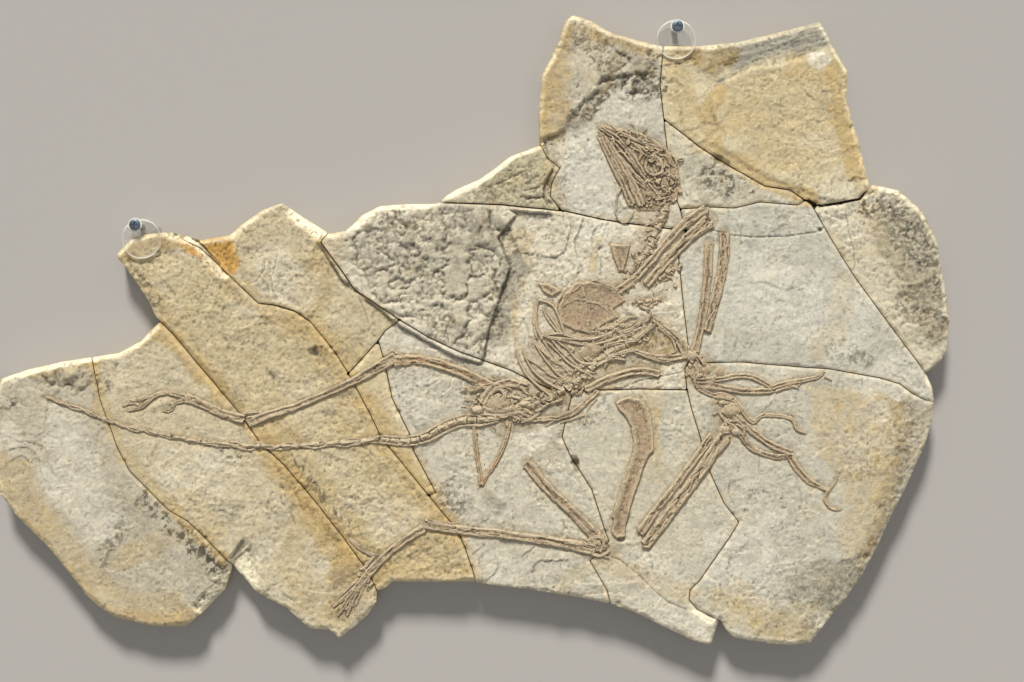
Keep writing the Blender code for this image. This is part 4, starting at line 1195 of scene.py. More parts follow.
def add_node(
        tree: bpy.types.NodeTree, kind: str, inputs: dict | None = None, **settings: object) -> bpy.types.Node:
    """Adds a node with its settings, and fills or links its inputs.

    Args:
        tree: the tree that the node joins.
        kind: the node's type name.
        inputs: values or sockets by input name or number.
        settings: the node's own properties.
    Returns:
        The node.
    """
    node = tree.nodes.new(kind)
    for name, value in settings.items():
        setattr(node, name, value)
    for name, value in (inputs or {}).items():
        if isinstance(value, bpy.types.NodeSocket):
            tree.links.new(value, node.inputs[name])
        else:
            node.inputs[name].default_value = value
    return node


def new_material(name: str) -> tuple[bpy.types.Material, bpy.types.NodeTree]:
    """An empty node material.

    Args:
        name: the material's name.
    Returns:
        The material and its tree.
    """
    material = bpy.data.materials.new(name)
    material.use_nodes = True
    material.node_tree.nodes.clear()
    return material, material.node_tree


def object_noise(
        tree: bpy.types.NodeTree, size: float, detail: float = 3.0, rough: float = 0.6) -> bpy.types.Node:
    """Noise on Object coordinates.

    Args:
        tree: the tree that the node goes into.
        size: about how wide a lump is, in metres.
        detail: how many finer layers it has.
        rough: how strong they are.
    Returns:
        The noise node.
    """
    place = add_node(tree, "ShaderNodeTexCoord").outputs["Object"]
    return add_node(tree, "ShaderNodeTexNoise", {
        "Vector": place, "Scale": 1 / size, "Detail": detail, "Roughness": rough})


SPAN = ("To Min", "To Max", "From Min", "From Max")


@dataclass(frozen=True)
class Finish:
    """A finish that fine patterns on Object coordinates break up in shade, gloss and relief.

    The tint is a hex colour, or names the colours that the piece's mesh carries. A pattern is its
    size in metres, its detail and its harshness, and each shade layer's pattern has its span behind it.
    """

    name: str
    tint: str
    fixed: tuple[tuple[str, float], ...] = ()
    pattern: tuple[float, ...] = ()
    gloss: tuple[float, ...] = ()
    pits: Point | None = None
    shades: tuple[tuple[float, ...], ...] = ()

    def material(self) -> bpy.types.Material:
        """Makes the material, with constants straight on the shader.

        Returns:
            The material.
        """
        material, tree = new_material(self.name)
        inputs: dict[str, object] = dict(self.fixed)
        if self.tint.startswith("#"):
            inputs["Base Color"] = (*linear(self.tint), 1)
        else:
            tint = add_node(tree, "ShaderNodeAttribute", attribute_name=self.tint).outputs["Color"]
            for size, detail, harsh, *span in self.shades:
                layer = object_noise(tree, size, detail, harsh).outputs["Fac"]
                shade = add_node(tree, "ShaderNodeMapRange", {"Value": layer, **dict(zip(SPAN, span))})
                tint = add_node(tree, "ShaderNodeVectorMath", {
                    0: tint, "Scale": shade.outputs[0]}, operation="SCALE").outputs[0]
            inputs["Base Color"] = tint
        if self.pattern:
            grain = object_noise(tree, *self.pattern).outputs["Fac"]
            inputs["Roughness"] = add_node(tree, "ShaderNodeMapRange", {
                "Value": grain, **dict(zip(SPAN, self.gloss))}).outputs[0]
        if self.pits:
            depth, strength = self.pits
            inputs["Normal"] = add_node(tree, "ShaderNodeBump", {
                "Height": grain, "Distance": depth, "Strength": strength}).outputs[0]
        shader = add_node(tree, "ShaderNodeBsdfPrincipled", inputs)
        add_node(tree, "ShaderNodeOutputMaterial", {"Surface": shader.outputs[0]})
        return material


# Laminated lake mudstone, split by hand along its bedding: dead matt, its stains, painted shade and painted
# highlight broken up by grit.
# Grit is drawn at 2.2 mm, coarser than the real silt, so that it shows in the picture
GRIT = (2.2 * MM, 4, 0.75)
MUDSTONE = Finish(
    "split_mudstone", "stone_tint", (("Specular IOR Level", 0.25),), GRIT, (0.82, 0.98), (0.7 * MM, 0.9),
    ((*GRIT, 0.90, 1.08, 0.3, 0.7), (11 * MM, 3, 0.6, 0.95, 1.05, 0.35, 0.65)))

# Crushed fossil bone: brown and a little waxy, with fine fibres; the colours that it carries are lighter on
# its ridges, painted highlight, and dark in its hollows, painted shade
FIBRE = (1.4 * MM, 4, 0.8)
FOSSIL_BONE = Finish(
    "fossil_bone_mineralised", "bone_tint", (("Specular IOR Level", 0.4),), FIBRE, (0.78, 0.52, 0.3, 0.7),
    (0.6 * MM, 0.8), ((*FIBRE, 0.66, 1.28, 0.3, 0.7),))

# Zinc-plated steel, cold headed: blue-grey and satin, with soft mottling from the plating
PLATED_STEEL = Finish(
    "zinc_plated_steel", "#6E7984", (("Metallic", 1.0),), (0.9 * MM, 2), (0.42, 0.6), (0.03 * MM, 0.5))

# Moulded white nylon: a soft satin sheen over a fine moulded grain
NYLON = Finish("moulded_nylon", "#DAD9D2", (), (0.6 * MM, 2), (0.38, 0.5))

# Painted board: one even matt warm grey
BACKDROP = Finish("backdrop_board", "#ACA8A4", (("Roughness", 0.9), ("Specular IOR Level", 0.2)))


@dataclass(frozen=True)
class AcrylicFinish:
    """Turned and polished clear acrylic: colourless, with a faint haze on its turned edge and a painted glow
    on its lower rim.
    """

    tint: str = "#F4F7F5"
    light: str = "#FFF3D2"
    painted_glow: float = 0.5
    frost: float = 0.3
    haze: float = 2.2 * MM

    def material(self) -> bpy.types.Material:
        """Clear plastic with acrylic's index of refraction, shown mostly by its rim, whose lower side glows
        with painted light.

        Returns:
            The material.
        """
        material, tree = new_material("polished_acrylic")
        haze = object_noise(tree, self.haze, 2).outputs["Fac"]
        rough = add_node(tree, "ShaderNodeMapRange", {"Value": haze, "To Min": 0.01, "To Max": 0.06})
        # The flat faces are clear and the turned rim is not; the lower rim above the slab glows with painted
        # light, an emission that stands in for light gathered above and leaving there
        normal = add_node(tree, "ShaderNodeNewGeometry").outputs["Normal"]
        level = add_node(tree, "ShaderNodeSeparateXYZ", {0: normal}).outputs["Z"]
        flat = add_node(tree, "ShaderNodeMath", {0: level}, operation="ABSOLUTE").outputs[0]
        body = add_node(tree, "ShaderNodeMapRange", {
            "Value": flat, "From Min": 0.97, "From Max": 0.6, "To Min": 0.03, "To Max": self.frost})
        down = add_node(tree, "ShaderNodeVectorMath", {0: normal, 1: (0.1, -1, 0)}, operation="DOT_PRODUCT")
        lower = add_node(tree, "ShaderNodeMapRange", {
            "Value": down.outputs["Value"], "From Min": 0.2, "From Max": 0.7})
        place = add_node(tree, "ShaderNodeTexCoord").outputs["Object"]
        high = add_node(tree, "ShaderNodeSeparateXYZ", {0: place}).outputs["Z"]
        disc = add_node(tree, "ShaderNodeMapRange", {
            "Value": high, "From Min": SLAB_TOP, "From Max": SLAB_TOP + 0.4 * MM})
        lit = add_node(tree, "ShaderNodeMath", {
            0: lower.outputs[0], 1: disc.outputs[0]}, operation="MULTIPLY")
        painted_glow = add_node(tree, "ShaderNodeMath", {0: lit.outputs[0], 1: self.painted_glow}, operation="MULTIPLY")
        alpha = add_node(tree, "ShaderNodeMath", {0: lit.outputs[0], 1: body.outputs[0]}, operation="MAXIMUM")
        shader = add_node(tree, "ShaderNodeBsdfPrincipled", {
            "Base Color": (*linear(self.tint), 1), "Roughness": rough.outputs[0], "IOR": 1.49,
            "Alpha": alpha.outputs[0], "Emission Color": (*linear(self.light), 1),
            "Emission Strength": painted_glow.outputs[0]})
        add_node(tree, "ShaderNodeOutputMaterial", {"Surface": shader.outputs[0]})
        return material


def link_mesh(
        name: str, mesh: bpy.types.Mesh, material: bpy.types.Material | None = None) -> bpy.types.Object:
    """Puts a mesh in the scene as an object at the origin.

    Args:
        name: the object's name.
        mesh: its mesh.
        material: its material, where it has just one.
    Returns:
        The object.
    """
    if material:
        mesh.materials.clear()
        mesh.materials.append(material)
    obj = bpy.data.objects.new(name, mesh)
    bpy.context.scene.collection.objects.link(obj)
    return obj


def paint(mesh: bpy.types.Mesh, name: str, colours: Array) -> None:
    """Stores one colour for each vertex.

    Args:
        mesh: the mesh.
        name: the attribute's name.
        colours: linear colours, one row each.
    """
    rgba = np.ones((len(colours), 4), np.float32)
    rgba[:, :3] = colours
    mesh.attributes.new(name, "FLOAT_COLOR", "POINT").data.foreach_set("color", rgba.ravel())


def vertex_places(mesh: bpy.types.Mesh) -> Array:
    """Reads the mesh's vertices.

    Args:
        mesh: the mesh.
    Returns:
        Their places, one row each.
    """
    places = np.empty(len(mesh.vertices) * 3, np.float32)
    mesh.vertices.foreach_get("co", places)
    return places.reshape(-1, 3).astype(float)


@dataclass
class CellField:
    """Square cells over part of the plan, from which a closed relief body is made."""

    low: Array
    high: Array
    cell: float
    x: Array = field(init=False)
    y: Array = field(init=False)

    def __post_init__(self) -> None:
        """Lays the grid on whole cells of the plan, so that all pieces' cells line up."""
        spans = [np.arange(math.floor(self.low[k] / self.cell) - 1, math.ceil(self.high[k] / self.cell) + 2)
                 * self.cell for k in (0, 1)]
        self.x, self.y = np.meshgrid(*spans, indexing="ij")

    @staticmethod
    def cells_of(corners: Array, need: Callable[..., Array]) -> Array:
        """Which cells qualify, from their four corners by a rule such as all or any."""
        return need([corners[:-1, :-1], corners[1:, :-1], corners[1:, 1:], corners[:-1, 1:]], axis=0)

    @staticmethod
    def without_pinches(keep: Array) -> Array:
        """Drops cells that touch others only at a corner, so that the body's wall is simple.

        Args:
            keep: which cells are kept.
        Returns:
            Which cells are left.
        """
        keep = keep.copy()
        while True:
            a, b, c, d = keep[:-1, :-1], keep[1:, :-1], keep[1:, 1:], keep[:-1, 1:]
            one = a & c & ~b & ~d
            two = b & d & ~a & ~c
            if not (one.any() or two.any()):
                return keep
            a[one] = False
            b[two] = False

    @staticmethod
    def main_patch(keep: Array) -> Array:
        """Finds the largest connected patch.

        Args:
            keep: which cells are kept.
        Returns:
            Which cells belong to the patch.
        """
        left, best = keep.copy(), np.zeros_like(keep)
        while left.sum() > best.sum():
            patch = np.zeros_like(keep)
            patch[tuple(np.argwhere(left)[left.sum() // 2])] = True
            while True:
                wider = patch.copy()
                wider[1:] |= patch[:-1]
                wider[:-1] |= patch[1:]
                wider[:, 1:] |= patch[:, :-1]
                wider[:, :-1] |= patch[:, 1:]
                wider &= keep
                if (wider == patch).all():
                    break
                patch = wider
            left &= ~patch
            if patch.sum() > best.sum():
                best = patch
        return best

    def faces(self, keep: Array) -> tuple[Array, Array, dict[int, int]]:
        """The upper faces of the kept cells.

        Args:
            keep: which cells are kept.
        Returns:
            The grid numbers of the used corners, the faces over those corners' new numbers, and the
            wall's run from each corner to the next, anticlockwise.
        """
        columns = self.x.shape[1]
        i, j = np.nonzero(keep)
        quads = np.stack([i * columns + j, (i + 1) * columns + j, (i + 1) * columns + j + 1,
                          i * columns + j + 1], axis=1)
        used = np.unique(quads)
        renumber = np.full(self.x.size, -1)
        renumber[used] = np.arange(len(used))
        quads = renumber[quads]
        ringed = np.pad(keep, 1)
        following: dict[int, int] = {}
        for side, (di, dj) in enumerate(((0, -1), (1, 0), (0, 1), (-1, 0))):
            open_side = ~ringed[i + 1 + di, j + 1 + dj]
            starts, ends = quads[open_side, side], quads[open_side, (side + 1) % 4]
            following.update(zip(starts.tolist(), ends.tolist()))
        return used, quads, following


def rings_of(following: dict[int, int]) -> list[list[int]]:
    """Splits a wall's run into its closed rings.

    Args:
        following: the corner that comes after each corner.
    Returns:
        The rings' corners, the longest ring first.
    """
    left, rings = dict(following), []
    while left:
        start = next(iter(left))
        ring, at = [start], left.pop(start)
        while at != start:
            ring.append(at)
            at = left.pop(at)
        rings.append(ring)
    return sorted(rings, key=len, reverse=True)


@dataclass
class StoneFragment:
    """One fragment of the slab, with its fine face, its rough broken sides and its flat back."""

    node: str
    stone: Fragment
    relief: StoneRelief
    cell: float = STONE_CELL
    side_rows: int = SIDE_ROWS
    side_rough: float = 1.1 * MM

    def outline(self) -> Array:
        """Reads the outline from the foot of the solid.

        Returns:
            Its corners in metres, anticlockwise.
        """
        bm = bmesh.new()
        bm.from_mesh(bpy.data.objects[self.node].data)
        bmesh.ops.remove_doubles(bm, verts=bm.verts, dist=0.01 * MM)
        foot = [face for face in bm.faces if face.calc_center_median().z < 0.1 * MM]
        inside = set(foot)
        following = {}
        for face in foot:
            for loop in face.loops:
                if not any(near is not face and near in inside for near in loop.edge.link_faces):
                    following[loop.link_loop_next.vert.index] = loop.vert.index
        bm.verts.ensure_lookup_table()
        ring = rings_of(following)[0]
        points = np.array([bm.verts[k].co.xy for k in ring], float)
        bm.free()
        return points

    def build(self, material: bpy.types.Material) -> bpy.types.Object:
        """Makes the fragment's mesh and paints its stains, with painted shade in its hollows and painted
        highlight on its ridges.

        Args:
            material: what the piece is made of.
        Returns:
            The finished piece.
        """
        outline = self.outline()
        field_ = CellField(outline.min(0), outline.max(0), self.cell)
        depth = depth_inside(field_.x, field_.y, outline)
        keep = field_.cells_of(depth > 0.35 * self.cell, np.all)
        keep = field_.main_patch(field_.without_pinches(keep))
        used, quads, following = field_.faces(keep)
        x, y = field_.x.ravel()[used], field_.y.ravel()[used]
        ring = np.array(rings_of(following)[0])
        gaps, along = path_distance(x[ring], y[ring], outline, ring=True)
        span = np.minimum(along.astype(int), len(outline) - 1)
        share = (along - span)[:, None]
        after = outline[(span + 1) % len(outline)]
        met = outline[span] * (1 - share) + after * share
        x[ring], y[ring] = met.T
        spans = np.linalg.norm(np.roll(outline, -1, axis=0) - outline, axis=1)
        run = np.concatenate([[0], np.cumsum(spans)])[span] + share[:, 0] * spans[span]
        way = (after - outline[span]) / spans[span][:, None]
        inside = depth.ravel()[used]
        inside[ring] = 0
        z = self.relief.fine(x, y, inside, self.stone.flake) + self.stone.level * MM
        colours = self.relief.colour(x, y, inside, self.stone)
        places, colours = self.sides(np.stack([x, y, z], axis=1), ring, colours, run, way)
        faces = quads.tolist() + self.side_faces(ring, len(x))
        mesh = bpy.data.meshes.new(self.node + "_stone")
        mesh.from_pydata(places.tolist(), [], faces)
        mesh.update()
        # Painted shade darkens the face's hollows, cracks and pits, and painted highlight lightens its ridges
        cavity_shade_and_ridge_light = np.zeros(len(places))
        cavity_shade_and_ridge_light[:len(x)] = hollowness(mesh, 4)[:len(x)]
        cavity_shade_and_ridge_light[ring] = 0
        colours = colours * (1 - 0.55 * smooth(0.03, 0.4, cavity_shade_and_ridge_light) + 0.12 * smooth(0.03, 0.35, -cavity_shade_and_ridge_light))[:, None]
        paint(mesh, "stone_tint", colours)
        mesh.shade_smooth()
        mesh.set_sharp_from_angle(angle=STONE_SHARP)
        return link_mesh("stone_" + self.node.removeprefix("slab_"), mesh, material)

    @staticmethod
    def evened(rows: Array, reach: int) -> Array:
        """The running mean of rows that close on themselves."""
        return sum(np.roll(rows, shift, axis=0) for shift in range(-reach, reach + 1)) / (2 * reach + 1)

    def sides(
            self, places: Array, ring: Array, colours: Array, run: Array, way: Array) -> tuple[Array, Array]:
        """Adds rows of points down the broken side, pushed inwards by the stone's bedding.

        Args:
            places: the face's points.
            ring: the numbers of the points around the rim.
            colours: the face's colours.
            run: how far along the outline each rim point lies, in metres.
            way: the outline's direction at each rim point.
        Returns:
            All points and all colours.
        """
        rim = places[ring]
        way = self.evened(way, 3)
        way /= np.maximum(np.linalg.norm(way, axis=1), 1e-9)[:, None]
        inward = np.stack([-way[:, 1], way[:, 0]], axis=1)
        # The walls take half their colour from the rim, with its painted highlight where the rim faces the
        # light
        face = self.evened(colours[ring], 12)
        made, shades = [places], [colours]
        for row in range(1, self.side_rows + 1):
            share = row / self.side_rows
            level = rim[:, 2] * (1 - share)
            bed = self.relief.rag.layered(run * 0.3, level * 4, 9 * MM, 4, 0.6)
            fine = self.relief.grain.layered(run * 0.8, level * 3, 4 * MM, 3, 0.7)
            rough = np.clip(0.5 + 0.55 * bed + 0.3 * fine, 0, 1.2)
            push = self.side_rough * rough * min(1, 3 * (1 - share) + 0.2)
            wall = rim.copy()
            wall[:, :2] += inward * push[:, None]
            wall[:, 2] = level
            band = 2.2 * self.relief.mottle.layered(run * 0.12, level * 5, 5 * MM, 4, 0.75)
            band = np.clip(band, -1, 1)[:, None]
            dark, warm = (np.array(linear(tint.value)) for tint in (Tint.GREY, Tint.OCHRE))
            shade = face * 0.5 + (warm * (0.5 + 0.5 * band) + dark * (0.5 - 0.5 * band)) * 0.42
            made.append(wall)
            shades.append(shade)
        return np.concatenate(made), np.concatenate(shades)

    def side_faces(self, ring: Array, first: int) -> list[list[int]]:
        """The side's faces and the flat back.

        Args:
            ring: the rim's corners on the face.
            first: the number of the side's first vertex.
        Returns:
            Each face's vertices.
        """
        rows = [ring] + [first + len(ring) * k + np.arange(len(ring)) for k in range(self.side_rows)]
        faces = []
        for upper, lower in zip(rows, rows[1:]):
            faces += np.stack([upper, lower, np.roll(lower, -1), np.roll(upper, -1)], axis=1).tolist()
        faces.append(rows[-1][::-1].tolist())
        return faces


def hollowness(mesh: bpy.types.Mesh, rounds: int) -> Array:
    """How far each vertex lies below its surroundings, in millimetres, and negative on ridges.

    Args:
        mesh: the finished mesh.
        rounds: how many edges away the surroundings reach.
    Returns:
        One value for each vertex.
    """
    ends = np.empty(len(mesh.edges) * 2, np.int32)
    mesh.edges.foreach_get("vertices", ends)
    one, two = ends[0::2], ends[1::2]
    count = len(mesh.vertices)
    near = np.bincount(one, minlength=count) + np.bincount(two, minlength=count)
    level = vertex_places(mesh)[:, 2]
    around = level.copy()
    for _ in range(rounds):
        total = np.bincount(one, around[two], count) + np.bincount(two, around[one], count)
        around = total / np.maximum(near, 1)
    return (around - level) / MM


def press_down(mesh: bpy.types.Mesh) -> None:
    """Presses whatever of a mesh stands near the ceiling softly under it.

    Args:
        mesh: the mesh.
    """
    places = vertex_places(mesh)
    places[:, 2] = pressed(places[:, 2], CEILING)
    mesh.vertices.foreach_set("co", places.ravel())
    mesh.update()


@dataclass
class BoneDresser:
    """Colours any piece of bone by how high each place stands above the stone and how hollow it lies, with
    painted highlight where it stands high and on its ridges and painted shade in its hollows.
    """

    relief: StoneRelief
    ridge: str = "#C9BC9E"
    body: str = "#AC987C"
    hollow: str = "#54432F"
    rust: str = "#A8743C"

    def paint(self, mesh: bpy.types.Mesh, rusty: bool) -> None:
        """Keeps a mesh under the ceiling and stores the bone's colours on it.

        Args:
            mesh: the finished mesh of bone.
            rusty: whether iron has stained the bone.
        """
        press_down(mesh)
        places = vertex_places(mesh)
        x, y = places[:, 0], places[:, 1]
        stand = (places[:, 2] - self.relief.coarse(x, y)) / MM
        rough = self.relief.grain.layered(x + 0.3, y, 2.4 * MM, 3, 0.8)
        patch = self.relief.mottle.layered(x, y + 0.4, 9 * MM, 4, 0.7)
        colour = np.tile(np.array(linear(self.body)), (len(x), 1))
        hollow = hollowness(mesh, 5) + 0.10 * rough
        # The ridge colour is painted highlight where the bone stands high above the stone and on its ridges;
        # the hollow colour is painted shade in its hollows and also darkens random patches
        for tint, share in (
                (self.rust, (0.75 if rusty else 0.15) * smooth(-0.4, 0.5, patch + 0.4 * rough)),
                (self.ridge, 0.28 * smooth(0.8, 3.0, stand + 0.9 * patch) + 0.5 * smooth(0.02, 0.22, -hollow)),
                (self.hollow, 0.82 * smooth(0.01, 0.24, hollow) + 0.4 * smooth(0.1, 0.6, -patch))):
            share = np.clip(share, 0, 1)[:, None]
            colour = colour * (1 - share) + np.array(linear(tint)) * share
        paint(mesh, "bone_tint", colour)


@dataclass
class BoneRelief:
    """The long bones, lumps and plates of one bone as a single crushed relief body."""

    name: str
    shapes: list[Limb | Lump | Plate]
    relief: StoneRelief
    cell: float = BONE_CELL
    sunk: float = BONE_SUNK
    crush: float = 0.4 * MM
    wander: float = 0.55 * MM

    def heights(self, x: Array, y: Array) -> Array:
        """How far the bone stands above the stone, with its crushed and pitted surface.

        Args:
            x, y: plan coordinates in metres.
        Returns:
            Heights in metres, below zero where there is no bone.
        """
        wx = x + self.wander * self.relief.rag.layered(x, y, 5 * MM, 3, 0.6)
        wy = y + self.wander * self.relief.rag.layered(x + 2, y, 5 * MM, 3, 0.6)
        height = np.full(x.shape, -MM)
        for shape in self.shapes:
            near = in_box(wx, wy, *footprint(shape))
            if near.any():
                height[near] = np.maximum(height[near], shape.height(wx[near], wy[near]))
        flaws = self.relief.grain.layered(x, y + 1, 3 * MM, 4, 0.7)
        pits = smooth(0.34, 0.6, self.relief.flakes.layered(x, y, 2.6 * MM, 3, 0.7))
        return height + np.where(height > 0, self.crush * (flaws - 0.5 * pits), 0)

    def build(self, material: bpy.types.Material) -> bpy.types.Object:
        """Makes the relief body.

        Args:
            material: what the piece is made of.
        Returns:
            The finished piece.
        """
        corners = np.array([footprint(shape) for shape in self.shapes])
        cells = CellField(corners[:, 0].min(0) - 2 * MM, corners[:, 1].max(0) + 2 * MM, self.cell)
        height = self.heights(cells.x, cells.y)
        keep = cells.without_pinches(cells.cells_of(height > 0, np.any))
        used, quads, following = cells.faces(keep)
        x, y, rise = cells.x.ravel()[used], cells.y.ravel()[used], height.ravel()[used]
        stone = self.relief.coarse(x, y)
        top = stone + np.where(rise > 0, rise, -0.5 * self.sunk)
        foot = stone.min() - self.sunk
        count = len(used)
        places = np.concatenate([np.stack([x, y, top], 1), np.stack([x, y, np.full(count, foot)], 1)])
        runs = np.array(list(following.items()))
        walls = np.stack([runs[:, 0], runs[:, 0] + count, runs[:, 1] + count, runs[:, 1]], axis=1)
        faces = np.concatenate([quads, quads[:, ::-1] + count, walls])
        mesh = bpy.data.meshes.new(self.name + "_relief")
        mesh.from_pydata(places, [], faces.tolist())
        mesh.update()
        mesh.shade_smooth()
        mesh.set_sharp_from_angle(angle=BONE_SHARP)
        return link_mesh("bone_" + self.name, mesh, material)


class NodeSwept:
    """A piece that a node tree makes along a curve that lies on the stone."""

    def __init__(self, name: str, inputs: dict[str, float | int]) -> None:
        """Starts the tree, whose first input is the source's geometry.

        Args:
            name: the piece's name.
            inputs: each named input with the value that the piece gives it.
        """
        self.name = name
        self.tree = bpy.data.node_groups.new(name + "_tree", "GeometryNodeTree")
        sockets = self.tree.interface
        for way in ("INPUT", "OUTPUT"):
            sockets.new_socket("Geometry", in_out=way, socket_type="NodeSocketGeometry")
        self.values: dict[str, float | int] = {}
        for label, value in inputs.items():
            kind = "NodeSocketInt" if isinstance(value, int) else "NodeSocketFloat"
            self.values[sockets.new_socket(label, in_out="INPUT", socket_type=kind).identifier] = value
        self.given = add_node(self.tree, "NodeGroupInput").outputs

    def close(self, geometry: bpy.types.NodeSocket, material: bpy.types.Material) -> None:
        """Ends the tree in real geometry.

        Args:
            geometry: the tree's last geometry.
            material: what the piece is made of.
        """
        real = add_node(self.tree, "GeometryNodeRealizeInstances", {"Geometry": geometry})
        made = add_node(self.tree, "GeometryNodeSetMaterial", {
            "Geometry": real.outputs[0], "Material": material})
        add_node(self.tree, "NodeGroupOutput", {"Geometry": made.outputs[0]})

    def mesh(self, source: bpy.types.Object) -> bpy.types.Mesh:
        """Runs the tree on a source object, and removes that object.

        Args:
            source: the object that carries the paths or places.
        Returns:
            The plain mesh.
        """
        modifier = source.modifiers.new(self.name, "NODES")
        modifier.node_group = self.tree
        for identifier, value in self.values.items():
            modifier[identifier] = value
        bpy.context.view_layer.update()
        evaluated = source.evaluated_get(bpy.context.evaluated_depsgraph_get())
        mesh = bpy.data.meshes.new_from_object(evaluated)
        source.modifiers.remove(modifier)
        bpy.data.objects.remove(source)
        mesh.name = self.name
        return mesh


def curve_on_stone(name: str, paths: Sequence[Array], relief: StoneRelief, lift: float) -> bpy.types.Object:
    """A curve object whose splines follow plan paths.

    Args:
        name: the curve's name.
        paths: plan paths in metres.
        relief: the stone that they lie on.
        lift: their height above it.
    Returns:
        The curve object.
    """
    curve = bpy.data.curves.new(name, "CURVE")
    curve.dimensions = "3D"
    for path in paths:
        spline = curve.splines.new("POLY")
        spline.points.add(len(path) - 1)
        level = relief.coarse(path[:, 0], path[:, 1]) + lift
        for point, (x, y), z in zip(spline.points, path, level):
            point.co = (x, y, z, 1)
    obj = bpy.data.objects.new(name, curve)
    bpy.context.scene.collection.objects.link(obj)
    return obj


